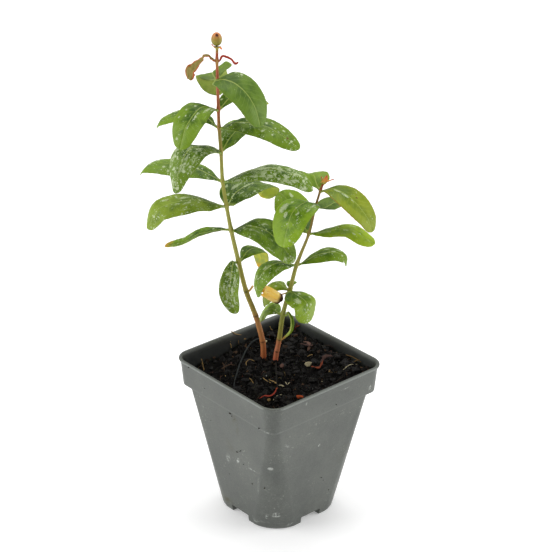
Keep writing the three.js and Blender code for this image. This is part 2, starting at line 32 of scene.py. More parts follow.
# Pot sizes
POT_HEIGHT = 96.8
RIM_HALF = 45
RIM_CORNER = 10.4
RIM_ROUND = 0.72
LIP_HEIGHT = 1.5
LIP_WIDTH = 2
LIP_FOOT = POT_HEIGHT - LIP_HEIGHT
BAND_TOP_HALF = 43.9
BAND_FOOT_HALF = 42
BAND_HEIGHT = 17.9
BAND_FOOT = POT_HEIGHT - BAND_HEIGHT
BAND_FOOT_CORNER = 6.3
BAND_CORNER_GROWTH = 3
BODY_TOP_HALF = 39.1
BODY_FOOT_HALF = 29.5
BODY_TOP_CORNER = 5
BODY_FOOT_CORNER = 16.8
BODY_CORNER_FLAT = 0.25
POT_WALL = 1.4
LEDGE = 1.2
FOOT_HEIGHT = 4.3
FLOOR_TOP = 6
NOTCH_WIDTH = 15
CENTRE_PAD_RADIUS = 7
# The body's foot is rounded, as inset and height, and so is the band's, as inset, corner and height
FOOT_ROUNDING = ((0.7, 0), (0.2, 0.25))
FOOT_ROUND_TOP = 0.8
BAND_ROUNDING = ((0.5, 5.8, 0.02), (0.12, 6.15, 0.25))
BAND_ROUND_TOP = 0.8
LIP_HOLLOW = 0.6
# Rows of points up the pot's body, band, rim and inner wall
BODY_LEVELS = 64
BAND_LEVELS = 16
RIM_STEPS = 6
INNER_LEVELS = 8

# Soil sizes
GAP = 0.3
SOIL_TOP = 85
SOIL_TOP_HALF = 40.8
SOIL_TOP_CORNER = 5.6
SOIL_RELIEF = 0.9
SOIL_CALM_RADIUS = 20
SOIL_RISE = 5.5
WALL_SLOPE = 0.1

# The plant is turned in its pot: its own frame has x to its right, y to its back and z up
PLANT_TURN = math.radians(-41.6)

# Camera, as fitted to the pot's corners: distances in mm, angles in degrees
CAMERA_ELEVATION = 25.9
CAMERA_ROLL = 0.555
CAMERA_DISTANCE = 1028.6
CAMERA_TARGET = (-1.93, 0, 151.1)
CAMERA_FOCAL_PIXELS = 1785
IMAGE_SIDE = 553
# Square lights: name, place in the plant's frame in mm, side in metres, power
LIGHTS = [
    ("left_light", (-2200, -300, 1040), 1.6, 34),
    ("right_light", (2200, -100, 960), 1.6, 30),
    ("top_light", (0, 900, 2600), 2.2, 44),
]
# The studio, in metres: the height the lights aim at, the floor's half side and its place below the pot
LIGHT_AIM = 0.14
FLOOR_HALF = 6.0
FLOOR_GAP = 0.0002
FLOOR_GLOW = 0.24
SURROUND_STRENGTH = 0.4

# Leaf sizes: side veins lean forwards by so much per millimetre from the midrib
LEAF_THICKNESS = 0.42
STALK_CLEARANCE = 0.75
STALK_HALF_WIDTH = 0.75
STALK_THICKNESS = 1.1
STALK_RINGS = 4
VEIN_LEAN = 0.85
VEIN_SPACING = 3.6
VEIN_PALE = (170, 190, 110)

# Middle line of each stem in the plant's frame, from the soil upwards, with its radius
STEM_SUNK = 2.4
TALL_STEM = [
    ((-9.3, 22.5, 85.3), 1.6), ((-9.9, 22.3, 97), 1.55), ((-14.2, 22, 114.5), 1.5),
    ((-19.9, 21.5, 131), 1.4), ((-24.3, 21, 150.5), 1.25), ((-28.6, 20.5, 171), 1.15),
    ((-31.2, 20, 186.5), 1.05), ((-33.4, 19.5, 202.2), 1), ((-34.2, 19, 220.5), 0.95),
    ((-35.2, 18.5, 235.5), 0.9), ((-35.5, 18, 246.5), 0.85), ((-35.9, 17.5, 263.5), 0.8),
    ((-36.1, 17, 275.5), 0.75), ((-36, 17, 283.8), 0.8),
]
SHORT_STEM = [
    ((-2.2, 19.6, 85.3), 1.45), ((-1.3, 19.5, 92), 1.4), ((0.1, 19.3, 100), 1.35), ((2.1, 19, 117), 1.3),
    ((6.1, 18.5, 133.5), 1.2), ((9.9, 18, 150.5), 1.15), ((16.7, 17, 171), 1), ((19.9, 16.5, 187), 0.9),
    ((22.8, 16, 198.5), 0.8), ((24.3, 16, 202.6), 0.8),
]
# Colours of each stem's bark by the share of its height
TALL_COLOURS = [
    (0.0, (190, 96, 60)), (0.06, (194, 118, 72)), (0.1, (196, 130, 82)), (0.147, (182, 128, 74)),
    (0.165, (164, 142, 66)), (0.26, (156, 146, 62)), (0.33, (154, 152, 64)), (0.62, (156, 156, 68)),
    (0.74, (148, 128, 60)), (0.79, (162, 80, 44)), (0.88, (184, 90, 70)), (0.93, (188, 84, 62)),
    (0.952, (172, 124, 60)), (0.958, (166, 136, 62)), (0.965, (158, 44, 22)), (0.982, (154, 46, 24)),
    (0.988, (138, 130, 46)), (1.0, (156, 144, 60)),
]
SHORT_COLOURS = [
    (0.0, (188, 84, 62)), (0.06, (196, 114, 84)), (0.115, (196, 118, 80)), (0.135, (146, 134, 62)),
    (0.27, (140, 148, 64)), (0.41, (152, 152, 62)), (0.556, (148, 144, 58)), (0.73, (138, 120, 52)),
    (0.865, (142, 104, 48)), (0.94, (140, 96, 44)), (0.962, (164, 126, 62)), (0.972, (156, 54, 28)),
    (1.0, (164, 74, 36)),
]

# Half width of a blade along its length, as a share of its full half width
NARROW = [(0, 0.1), (0.05, 0.24), (0.13, 0.58), (0.25, 0.86), (0.38, 0.98), (0.5, 1), (0.63, 0.97),
          (0.76, 0.87), (0.87, 0.69), (0.95, 0.48), (0.985, 0.28), (1, 0.06)]
BROAD = [(0, 0.22), (0.05, 0.48), (0.13, 0.74), (0.25, 0.93), (0.38, 1), (0.5, 0.98), (0.63, 0.94),
         (0.76, 0.84), (0.87, 0.67), (0.95, 0.47), (0.985, 0.28), (1, 0.06)]
SEPAL = [(0, 0.5), (0.3, 0.95), (0.55, 1), (0.8, 0.62), (1, 0.08)]
STRIP = [(0, 0.4), (0.25, 0.42), (0.5, 0.65), (0.75, 1), (0.9, 0.95), (1, 0.4)]

# Leaf looks: deep and bright green, how much chalk lies on it, how pale its haze is
CLEAN = {"deep": (58, 88, 18), "bright": (104, 132, 36), "chalk": 0.05, "haze": 0.1}
MIDDLE = {"deep": (56, 88, 12), "bright": (114, 144, 32), "chalk": 0.8, "haze": 0.5}
CHALKY = {"deep": (52, 82, 14), "bright": (102, 130, 30), "chalk": 1.2, "haze": 0.9}
FRESH = {"deep": (72, 104, 12), "bright": (126, 150, 28), "chalk": 0.4, "haze": 0.3}
BRONZE = {"deep": (86, 112, 12), "bright": (134, 148, 30), "chalk": 0.12, "haze": 0.25,
          "margin": (172, 96, 50)}
LOWER = {"deep": (64, 98, 12), "bright": (120, 150, 32), "chalk": 0.65, "haze": 0.6}


def leaf(look, name, joint, heading, width, fold, curl, path, **own):
    """A leaf by the same rule as the solids: its look, and what it has of its own.

    joint is the stem joint that it stands at, heading is degrees from the plant's right towards its
    back, fold lifts both halves, curl bends them further out, and path is the middle vein in mm from
    the joint. Of its own it may have: side, the side of the stem where that isn't its heading; clear,
    the gap at the foot; lift, its foot's height above the joint; roll, which raises the left margin at
    foot, middle and tip; outline; point, which narrows the tip; fuller, which widens the right half;
    colours that differ from its look; and pale patches, partly chalk and partly a painted highlight,
    and dark spots, as the share along the blade, the share of the half width, half length and half
    width in mm, and strength.
    """
    return {**look, "name": name, "joint": joint, "heading": heading, "width": width, "fold": fold,
            "curl": curl, "path": path, **own}


# An under colour is the underside's own pale green, brightened by a painted glow of light shining through the
# leaf.
TALL_LEAVES = [
    leaf(CHALKY, "tall_leaf_1_left", 4, 260, 12.5, 8, 10,
         [(-3.2, -2.5, 0), (-4.2, -5, -7.5), (-5.2, -7, -17), (-1.5, -8, -30.5)], side=215,
         deep=(62, 94, 14), bright=(116, 142, 34),
         patches=[(0.35, 0.4, 4, 0.8, 0.8), (0.55, 0.3, 4, 0.9, 0.9), (0.75, 0.35, 3, 0.8, 0.85),
                  (0.5, -0.5, 3, 0.8, 0.7), (0.65, -0.3, 3, 0.8, 0.7)]),
    leaf(MIDDLE, "tall_leaf_1_right", 4, 45, 14.5, 5, -10,
         [(5.5, 6, 4), (11.5, 11, 3.5), (13.5, 14, -3.5), (13.5, 13, -11.5)], under=(206, 206, 60),
         tip=(232, 176, 50), tip_from=0.86),
    leaf(MIDDLE, "tall_leaf_2_left", 5, 165, 10, 5, 5,
         [(-7, 2, -1), (-15, 3, -3), (-20.5, 4, -5.5), (-26, 5.5, -9.5), (-31, 6.5, -12),
          (-39.5, 8, -14.5)], roll=(0, -12, -15), margin=(180, 150, 56), tip=(210, 150, 52), tip_from=0.84),
    leaf(MIDDLE, "tall_leaf_2_right", 5, 335, 22, 5, -12,
         [(11, -6, 5.5), (21.5, -10, 3.5), (30.5, -13, -4.5), (36.5, -16, -13)], roll=(10, 15, 15),
         patches=[(0.16, 0.35, 2.5, 1.2, 0.9), (0.25, 0, 2, 1, 0.9), (0.3, -0.35, 1.5, 1, 0.8),
                  (0.42, 0.4, 2, 1, 0.7), (0.6, -0.3, 2.5, 0.8, 0.6), (0.8, 0.2, 3, 0.8, 0.6)]),
    leaf(LOWER, "tall_leaf_3_left", 6, 200, 20.5, -5, -8,
         [(-10.5, -5, 4.4), (-21.5, -9, 7.2), (-38, -13, 3.8), (-44.8, -15, -8.5)], roll=(0, -15, -15),
         deep=(82, 108, 20), bright=(128, 150, 40), chalk=0.8, haze=1,
         patches=[(0.3, -0.4, 4, 1.1, 0.8), (0.45, -0.3, 5, 1.2, 0.75), (0.55, 0.2, 3, 1, 0.6),
                  (0.65, -0.5, 4, 1.2, 0.7), (0.15, -0.2, 2.5, 1, 0.8)],
         spots=[(0.62, -0.35, 0.7, 0.6, 1), (0.7, -0.5, 0.5, 0.5, 0.8)]),
    leaf(CHALKY, "tall_leaf_3_right", 6, 50, 26, 8, -5,
         [(5, 7, 5), (13.4, 14, 7.5), (22.6, 21, 4.5), (20, 20, -3)], outline=BROAD, chalk=0.9,
         under=(184, 196, 80), tip=(226, 196, 60), tip_from=0.92,
         patches=[(0.3, 0.3, 3.5, 1.4, 0.85), (0.45, 0, 3, 1.2, 0.8), (0.25, -0.3, 2.5, 1, 0.8),
                  (0.55, 0.35, 2.5, 1.2, 0.8), (0.15, 0, 2, 1, 0.8)]),
    leaf(MIDDLE, "tall_leaf_4_left", 7, 155, 18, -5, -8,
         [(-13.5, 8, 3.5), (-30, 15, 4), (-43, 20, 2), (-48.5, 22, -5)], roll=(0, -15, 0), point=-0.5),
    leaf(CHALKY, "tall_leaf_4_right", 7, 335, 18, -8, -12,
         [(12.5, -7, 8.4), (27, -12, 13), (42.5, -17, 10.5), (51.5, -20, 3)], roll=(0, 15, 15),
         deep=(50, 82, 12), bright=(100, 130, 26), chalk=1.45, haze=1.1,
         patches=[(0.42, 0.55, 4, 1.2, 0.9), (0.45, 0, 4.5, 1.4, 1), (0.28, 0.1, 3.5, 1.1, 0.9),
                  (0.6, 0.1, 3.5, 1.2, 0.9), (0.7, -0.35, 3, 1, 0.9), (0.8, 0.2, 3, 1, 0.9),
                  (0.55, -0.55, 3, 0.8, 0.8), (0.2, -0.4, 2.5, 0.8, 0.8), (0.35, 0.75, 2, 0.7, 0.8)]),
    leaf(CHALKY, "tall_leaf_5_left", 8, 235, 22, -5, -10,
         [(-5.6, -5, 5), (-16, -12, 7), (-22.2, -19, -1), (-24.8, -25, -15.5)], outline=BROAD, point=0.35,
         patches=[(0.2, 0.1, 3, 1.2, 0.8), (0.35, 0.35, 2, 1, 1), (0.42, -0.1, 2.5, 0.8, 0.9),
                  (0.5, 0.5, 1, 0.8, 1), (0.55, -0.5, 1.5, 0.8, 0.7), (0.65, 0.2, 2.5, 0.7, 0.8),
                  (0.75, -0.2, 2, 0.8, 0.7), (0.3, -0.5, 1.6, 0.8, 0.8)]),
    leaf(MIDDLE, "tall_leaf_5_right", 8, 60, 17, 10, 0, [(5.4, 8, 5.9), (11.6, 15, 9.4), (20.5, 24, 9)]),
    leaf(MIDDLE, "tall_leaf_6_left", 9, 155, 14, -5, -8,
         [(-8, 5, 4), (-22.5, 12, 3.6), (-32.5, 16, -1.2), (-36.5, 17, -6.6)], roll=(0, -15, -10),
         point=-0.5),
    leaf(MIDDLE, "tall_leaf_6_right", 9, 335, 19, 0, -10, [(12, -7, 6), (29, -14, 5), (45.5, -20, -4.5)],
         roll=(5, 15, 15), deep=(50, 82, 10), bright=(106, 134, 26), chalk=0.6,
         patches=[(0.12, 0.5, 2.5, 1, 0.7), (0.25, 0.6, 4, 1, 0.6), (0.3, -0.1, 5, 1, 0.6),
                  (0.45, -0.2, 4, 1, 0.6), (0.55, 0.3, 1.2, 1, 1), (0.6, 0.55, 0.9, 0.8, 1),
                  (0.66, 0.2, 0.8, 0.7, 0.9), (0.75, 0.4, 1, 0.8, 1), (0.9, 0.3, 0.8, 0.7, 0.8)],
         spots=[(0.83, 0.05, 0.9, 0.7, 1)]),
    leaf(MIDDLE, "tall_leaf_7_left", 10, 235, 19, 5, -5,
         [(-8.5, -10, 5), (-16.5, -18, -2.5), (-20.5, -24, -15)], roll=(0, -5, -5), chalk=0.3, haze=0.3,
         patches=[(0.3, 0.5, 4.5, 1.1, 1), (0.5, 0.2, 4, 0.8, 0.85), (0.68, 0.12, 3, 0.6, 0.7),
                  (0.28, 0.75, 2.4, 0.9, 0.9), (0.36, -0.35, 1, 0.9, 1), (0.47, -0.62, 0.8, 0.7, 1),
                  (0.55, -0.4, 0.7, 0.6, 0.9), (0.6, -0.75, 0.8, 0.6, 0.9), (0.2, 0.1, 1.4, 0.8, 0.8)]),
    leaf(CLEAN, "tall_leaf_7_right", 10, 45, 15, 5, 0, [(6.5, 7.5, 4), (17, 15, 3.6), (27.5, 20, -4)],
         tip=(206, 196, 80), tip_from=0.9),
    leaf(CLEAN, "tall_leaf_8_left", 11, 115, 20, 8, 0,
         [(-2.6, 5, 1.8), (-3.2, 9.5, 1.6), (-1.5, 12.8, -3.4), (1.6, 14.8, -8), (4.4, 16, -11)],
         roll=(-14, -16, -10), outline=BROAD, fuller=0.4, deep=(82, 110, 28), bright=(120, 148, 50)),
    leaf(CLEAN, "tall_leaf_8_right", 11, 320, 22, 4, -8,
         [(4.2, -7, 3.3), (11.4, -9.9, 1), (17, -13.2, -3.3), (21.6, -17, -10.2), (24.2, -19.5, -19.6)],
         side=250, clear=3.7, lift=1, roll=(15, 10, 5), outline=BROAD, deep=(66, 96, 20),
         bright=(98, 127, 36)),
]
SHORT_LEAVES = [
    leaf(LOWER, "short_leaf_1_left", 3, 160, 15.5, -4, -8,
         [(-6.5, 5, 0.8), (-11.6, 9, -2.4), (-14.2, 12, -9.5)], roll=(0, -18, -10), deep=(84, 116, 16),
         bright=(130, 156, 36), tip=(214, 176, 70), tip_from=0.84),
    leaf(FRESH, "short_leaf_1_right", 3, 330, 3.6, 20, 20,
         [(3, -2, 2), (5, -6, -1.5), (4, -8, -7), (-0.5, -9, -13)], clear=0.95, tip=(150, 112, 46),
         tip_from=0.74),
    leaf(LOWER, "short_leaf_2_right", 4, 320, 20, -5, -8, [(3.5, -7, 0.5), (10, -12.5, -3), (10, -16, -14)],
         side=255, clear=1.6, outline=BROAD, point=-0.35, deep=(68, 104, 10), bright=(132, 158, 34),
         patches=[(0.4, -0.4, 3, 2, 0.95), (0.25, 0.2, 1.6, 1, 0.8), (0.45, 0.6, 1.2, 0.9, 0.9),
                  (0.6, 0.3, 1, 0.8, 0.9), (0.7, 0, 1, 0.7, 0.7)]),
    leaf(LOWER, "short_leaf_2_left", 4, 150, 20, -10, -10, [(-8, 5, 2.4), (-13.6, 8, -2), (-14.6, 9, -15)],
         deep=(112, 138, 24), bright=(140, 162, 40)),
    leaf(LOWER, "short_leaf_2_back", 4, 60, 5.5, 0, 0, [(0.5, 4, 2.5), (3.5, 7, 2)], clear=1.2),
    leaf(MIDDLE, "short_leaf_3_left", 5, 210, 15, -5, -10,
         [(-10.6, -6, 3.5), (-19, -10, 0), (-23, -12, -8), (-22.5, -13, -15.5)], roll=(0, -10, 0),
         point=0.2,
         patches=[(0.3, -0.5, 2, 0.8, 0.8), (0.5, -0.2, 2, 0.8, 0.8), (0.7, -0.4, 2, 0.8, 0.8),
                  (0.85, 0, 1.6, 0.7, 0.7)]),
    leaf(MIDDLE, "short_leaf_3_right", 5, 5, 12.5, -5, -10,
         [(10.5, 1, 5), (20.8, 2, 7), (28.6, 3, 3.6), (29.4, 3, -2.2)], roll=(0, 20, 15), deep=(66, 98, 10),
         bright=(112, 140, 24), chalk=0.5,
         patches=[(0.5, 0.5, 2, 0.8, 0.9), (0.6, 0.1, 1.5, 0.7, 0.9), (0.7, 0.4, 2, 0.8, 0.9),
                  (0.45, -0.1, 1.5, 0.7, 0.8), (0.75, -0.2, 1.2, 0.6, 0.8)]),
    leaf(FRESH, "short_leaf_4_right", 6, 340, 16, 0, -8, [(11, -5, 4), (23.2, -10, 7), (37.6, -14, 0)],
         roll=(0, 5, 5), point=-0.4, deep=(98, 130, 12), bright=(150, 174, 34), margin=(190, 190, 70),
         patches=[(0.6, 0.6, 2.5, 0.8, 0.9), (0.55, -0.2, 1.8, 0.9, 0.9), (0.68, -0.35, 1.5, 0.8, 0.9),
                  (0.75, 0, 1.2, 0.8, 0.7), (0.3, -0.3, 2.5, 0.6, 0.7)], spots=[(0.42, 0.35, 1.1, 0.7, 1)]),
    leaf(FRESH, "short_leaf_4_left", 6, 130, 26, 0, -5,
         [(-6.5, 6, 9.3), (-12.5, 10, 16.3), (-17.5, 13, 20.3)], deep=(66, 100, 12), bright=(124, 152, 30),
         patches=[(0.62, -0.2, 2.6, 2, 1), (0.8, -0.35, 1.8, 1.3, 0.9), (0.72, 0.5, 1.6, 1.1, 0.9),
                  (0.48, -0.6, 2.6, 1.4, 0.9), (0.7, 0.2, 0.8, 0.7, 0.9)],
         spots=[(0.72, 0.1, 0.7, 0.5, 0.7)]),
    leaf(FRESH, "short_leaf_5_left", 7, 235, 24, 0, -5,
         [(-6.4, -8, 6.9), (-13.8, -16, 2.3), (-18.4, -25, -13.4)], side=262, lift=3.5, outline=BROAD,
         deep=(62, 100, 10), bright=(132, 164, 32),
         patches=[(0.46, -0.62, 3.8, 2.2, 1), (0.55, -0.3, 2, 1.4, 0.9), (0.33, -0.5, 1.4, 1.1, 0.8),
                  (0.22, 0.55, 3, 0.9, 0.9), (0.35, 0.6, 2.5, 0.8, 0.8), (0.5, 0.25, 0.8, 0.7, 0.9),
                  (0.58, 0.4, 0.7, 0.6, 0.9)], spots=[(0.62, -0.5, 1.2, 0.35, 0.9)]),
    leaf(CLEAN, "short_leaf_5_right", 7, 45, 16, 5, 0, [(6, 6, -2), (13, 12, -1), (21, 18, -3.5)]),
    leaf(BRONZE, "short_leaf_6_right", 8, 325, 20.5, 5, -8,
         [(7.5, -5, 3), (16.5, -10, 0), (25.6, -16, -8.5), (29.4, -19, -17.4)], roll=(0, 5, 0),
         patches=[(0.25, -0.1, 3, 0.9, 0.8), (0.38, -0.15, 3, 1, 0.9), (0.5, -0.1, 2, 0.8, 0.6)],
         spots=[(0.5, 0.35, 0.8, 0.7, 1)]),
    leaf(CLEAN, "short_leaf_6_left", 8, 115, 18, 15, 0, [(-2.5, 4.5, 3), (-4, 10, 5), (-8, 18, 2)],
         roll=(10, 10, 5), deep=(92, 122, 20), bright=(132, 160, 44)),
]

# Dry pieces, by the same rule
DRY_STRIPS = [
    dict(name="withered_leaf_left", joint=12, heading=180, width=7, roll=(0, -30, -60),
         path=[(-4, 0.5, 2), (-6, 0.5, 3), (-9, 0.5, 0), (-12.5, 0.5, -3.5), (-15, 0.5, -6.5),
               (-15.5, 0.5, -11.5)]),
    dict(name="withered_leaf_right", joint=12, heading=0, width=2,
         path=[(3.5, -1, 3), (7.5, -1, 1.5), (10, -2, -1), (12, -2, -0.5)]),
    dict(name="leaf_stub", joint=3, heading=15, width=1.9, path=[(3, 0.5, 1.2), (4.2, 1, 3)]),
]
BUD_TOP = (24.3, 16, 203.2)
SEPALS = [
    dict(name="fruit_sepal_left", top=(-36, 17, 283.4), heading=190, width=3,
         path=[(-1.7, -0.6, 0.3), (-2.9, -0.8, 2)]),
    dict(name="fruit_sepal_right", top=(-36, 17, 283.4), heading=340, width=2.6,
         path=[(1.7, -1, 0.3), (2.8, -1.2, -1)]),
]
BUD_REMAINS = [
    dict(name="bud_remains_left", top=BUD_TOP, heading=175, width=1.4,
         path=[(-0.7, 0, 1.4), (-1.3, 0, 3.8)]),
    dict(name="bud_remains_middle", top=BUD_TOP, heading=280, width=2, path=[(1, -1.2, 2), (2, -1.3, 5.2)]),
    dict(name="bud_remains_right", top=BUD_TOP, heading=350, width=1.4,
         path=[(3, -0.5, 1.2), (6, -1, 2.6)]),
]
SEPAL_COLOURS = [(0.0, (176, 168, 70)), (0.3, (226, 160, 82)), (0.65, (226, 128, 66)), (0.95, (178, 62, 32))]
SEPAL_CLEAR = 0.45
STEM_TOP_RADIUS = 0.8
# How much fuller the shrivelled sepals of the bud are than their plain solids
BUD_FULLNESS = 1.35
# The shrivelled bud, from base to tip, as places from its stem's top
BUD_BASE = (0.5, 0, 0.2)
BUD_TIP = (1.9, 0.2, 4.4)
BUD_RADIUS = 1.15

FRUIT_CENTRE = (-36.2, 17, 288)
FRUIT_RADIUS = 3.1
FRUIT_HALF_HEIGHT = 3.9
FRUIT_SCAR_WAY = (0.08, -0.64, 0.76)
FRUIT_COLOURS = [(0.0, (92, 76, 26)), (0.28, (136, 130, 48)), (0.55, (156, 134, 56)), (0.8, (192, 130, 72)),
                 (1.0, (212, 134, 86))]

# The rolled dead leaf, from its burnt end near the stem to its far end, as places from the joint
ROLL_JOINT = 4
ROLL_NEAR = (-5.9, -5, -4)
ROLL_FAR = (-16.2, -6, 2.6)
ROLL_RADIUS = 3.9
ROLL_THICKNESS = 0.32
ROLL_STALK_RADIUS = 0.4
# The sheet's turn about its length, in degrees
ROLL_START = -200
ROLL_TURN = 330

# Marks on the pot, in mm: face, place across it, height, half length, half width, lean in degrees, strength.
# The left face looks along -x and the right face along -y, where they meet at the front corner.
# Two rows, left at -37.5 and right at -36 just above the band's foot, are a painted highlight along the
# crease.
POT_SCUFFS_AND_HIGHLIGHTS = [
    ("left", -19, 5, 6, 0.6, 0, 0.85), ("left", -22, 9.5, 2.4, 1, 80, 0.7),
    ("right", -22, 5, 6, 0.5, 0, 0.85), ("right", -16, 2.8, 2.5, 0.8, 10, 0.7),
    ("left", 6, 39.9, 4.2, 2.4, 110, 0.5), ("left", -3.5, 42.6, 2.4, 1.1, 120, 0.95),
    ("left", -30.9, 49.2, 1.7, 1.2, 0, 1), ("left", -16, 42.2, 7.5, 0.7, 174, 0.55),
    ("left", -20.5, 33, 7.5, 0.9, 97, 0.5), ("left", -13.9, 3.4, 3, 1, 20, 0.6),
    ("left", -26.8, 12.5, 1.7, 1.4, 0, 0.9), ("left", -37.5, 79.8, 4, 0.7, 0, 0.5),
    ("left", -25.2, 85.1, 1.5, 0.8, 0, 0.5), ("right", -26.2, 64.7, 3, 0.7, -40, 0.6),
    ("right", 0.1, 54.4, 0.8, 0.7, 0, 1), ("right", -24.5, 10.6, 5, 0.7, -10, 0.7),
    ("right", 18.2, 17.3, 1.1, 0.9, 0, 0.6), ("right", -36, 79.4, 3, 0.7, 0, 0.5),
    ("right", -17.7, 92.3, 1, 0.9, 0, 0.8), ("right", 13.3, 91.1, 4.5, 0.7, 3, 0.5),
    ("right", 34.1, 83.6, 1.7, 1.1, 80, 0.8), ("right", 16.8, 70.7, 3, 1.5, 20, 0.3),
]
# Old stains: the same columns as the scuffs
POT_STAINS = [
    ("left", 11.1, 6, 2.4, 3.5, 90, 1), ("left", 19, 6, 2.5, 3, 90, 0.7),
    ("left", -4.5, 72.5, 4, 1.6, 125, 0.6), ("left", -6, 66, 5, 1.5, 95, 0.35),
    ("left", 2, 50, 6, 4, 60, 0.3), ("right", 22, 40, 6, 5, 60, 0.25),
]
# Crumbs of peat that stick to the pot: face, place across it, height, size
POT_CRUMBS = [
    ("left", -1.2, 75.1, 1.15), ("left", -2.6, 74, 0.7), ("left", -4.4, 72.6, 0.4), ("left", -3.9, 49, 0.6),
    ("left", -6.4, 50.6, 0.45), ("left", -7.6, 51.8, 0.5), ("left", -8.6, 42.5, 0.5),
    ("left", -15.1, 31.5, 0.6), ("left", -30.8, 79.9, 0.6), ("left", 30.4, 94.3, 0.6),
    ("left", 17, 85.6, 0.45), ("left", 18.7, 60.9, 0.35), ("left", 6.5, 27.8, 0.35),
    ("left", 17.9, 14.3, 0.35), ("right", -32.7, 33.2, 0.45), ("right", 5.4, 28.5, 0.6),
    ("right", 7.3, 25.8, 0.5), ("right", 12.7, 16.2, 0.45), ("right", 6.9, 82, 0.4),
]
CRUMB_COLOURS = ((24, 18, 14), (58, 44, 32))
CRUMB_SEED = 7
BACK_CRUMBS = 16

# Larger bits on the soil, in the plant's frame: kind, colour, thickness or width, and the line they follow
# as x, y and the height above the soil, all in mm
SOIL_LINES = [
    ("stick", "tan", 0.42, [(-44.4, 5.3, -1), (-45.2, 7, 2.5), (-46.1, 9.1, 6)]),
    ("strip", "rust", 2.5, [(19.6, 10.6, 0.8), (22.2, 8.3, 1.3), (24.4, 8.4, 1), (26.5, 12.4, 1.8)]),
    ("strip", "plum", 3.2, [(25, 11.6, 1.2), (27.5, 14.4, 2.4), (30, 14.6, 2.1), (32.4, 15.4, 1)]),
    ("strip", "red", 1.6,
     [(-12.6, -28.8, 0.5), (-8.6, -25.6, 1.2), (-5.1, -24.3, 0.9), (-2.6, -22, 1.6), (-1.4, -18.6, 2.8)]),
    ("stick", "pale", 0.3, [(-3.3, -27.5, 0), (-0.8, -25.2, 1.4), (1.8, -24.8, 1)]),
    ("stick", "grey", 0.6,
     [(-5, 41, 1), (-10, 40, 1.4), (-15.6, 36.5, 1.2), (-19.5, 29, 1), (-21.8, 21, 1.1), (-24, 10, 1),
      (-24.7, 3.4, 1), (-26.1, -8, 1.2), (-26.1, -16.6, 0.4)]),
    ("stick", "tan", 0.3, [(-19.4, 12.6, 0.4), (-19.6, 15.6, 1.3), (-17.4, 18, 1.8), (-14.8, 17, 1.2)]),
    ("stick", "tan", 0.35, [(-17.5, -3.4, 0.9), (-16, -6, 1), (-14.8, -8.6, 0.4)]),
    ("strip", "tan", 1.3, [(-5.9, -4.5, 0.5), (-3.4, -7, 1), (-0.8, -9.5, 0.6)]),
    ("strip", "pale", 1.3, [(-0.1, -11, 0.6), (1.5, -12, 1), (3.1, -12.7, 0.6)]),
    ("stick", "pale", 0.3, [(4, -7.6, 0.6), (5, -10.6, 0.8), (6.6, -8, 0.8)]),
    ("stick", "black", 0.6,
     [(-2.1, 18.2, 0.4), (-1.7, 13, 1), (-1.6, 5, 1.3), (-1.4, -5, 1.1), (-0.8, -13.4, 0.2)]),
    ("stick", "rust", 0.45, [(-0.8, -13.4, 0.2), (-1.2, -16.5, 1.6), (-1.4, -18.8, 2.8)]),
    ("stick", "grey_pale", 0.38, [(25.7, 36.5, 0.6), (30, 33.6, 0.9), (34.2, 29.5, 0.5)]),
    ("strip", "bark", 2, [(27, 28.5, 0.6), (30.5, 27.8, 1.1), (34, 26.2, 0.6)]),
    ("strip", "plum", 2, [(13, 33, 1), (15.5, 29.5, 2.4), (19, 27.5, 2.2), (20.5, 30.5, 1)]),
    ("strip", "plum", 2.4, [(15, 34.5, 0.8), (17.6, 31.5, 1.9), (18.4, 28, 1.7), (17.4, 25.4, 0.7)]),
    ("stick", "rust", 0.28, [(20.8, 31.5, 0.8), (24.8, 29.2, 0.5)]),
    ("stick", "tan", 0.28, [(22, 29.8, 0.6), (26.4, 27.6, 0.7)]),
    ("strip", "tan", 1.2, [(16.8, 20.4, 0.5), (18.6, 20.8, 0.9), (20.4, 21.4, 0.6)]),
    ("stick", "tan", 0.35, [(44, 8.4, 0.3), (47, 9.4, 1), (50, 10.6, 0.8)]),
    ("stick", "pale", 0.3, [(38, 3.4, 0.4), (42, 5.4, 0.8), (46.6, 6.2, 0.4)]),
    ("stick", "tan", 0.3, [(40.4, 16.4, 0.5), (44, 12.6, 0.9), (49, 8.4, 0.5)]),
    ("stick", "tan", 0.3, [(-29.2, 31.4, 10.6), (-26.5, 33.2, 7.4), (-23, 35, 5.4)]),
    ("stick", "tan", 0.3, [(-5.8, 49.4, 3.6), (-5, 50, 1.6), (-3.6, 51, -0.6)]),
    ("stick", "rust", 0.42, [(11, 49.6, 4.6), (10.2, 50.4, 1.8), (9.5, 50, -0.8)]),
    ("stick", "rust", 0.3, [(10.8, 50, 2.2), (12.6, 49, 3.6)]),
    ("stick", "tan", 0.32, [(-28.8, 29.4, 0.3), (-29.6, 30.4, 3), (-29.4, 30.6, 4.2)]),
    ("stick", "tan", 0.28, [(-24.4, 33, 0.2), (-24.8, 33.6, 2.6)]),
    ("stick", "tan", 0.3, [(-9.4, -2.2, 0.6), (-8, -5.4, 0.9), (-4.4, -8.2, 0.5)]),
    ("stick", "bark", 0.35, [(33, -8, 0.6), (38, -4, 1), (42, -2, 0.4)]),
    ("stick", "bark", 0.4, [(-34, 8, 0.6), (-30, 12, 1.2), (-25.5, 13, 0.4)]),
    ("stick", "bark", 0.32, [(-36, 18, 0.6), (-33, 12, 1), (-32.6, 5, 0.4)]),
]
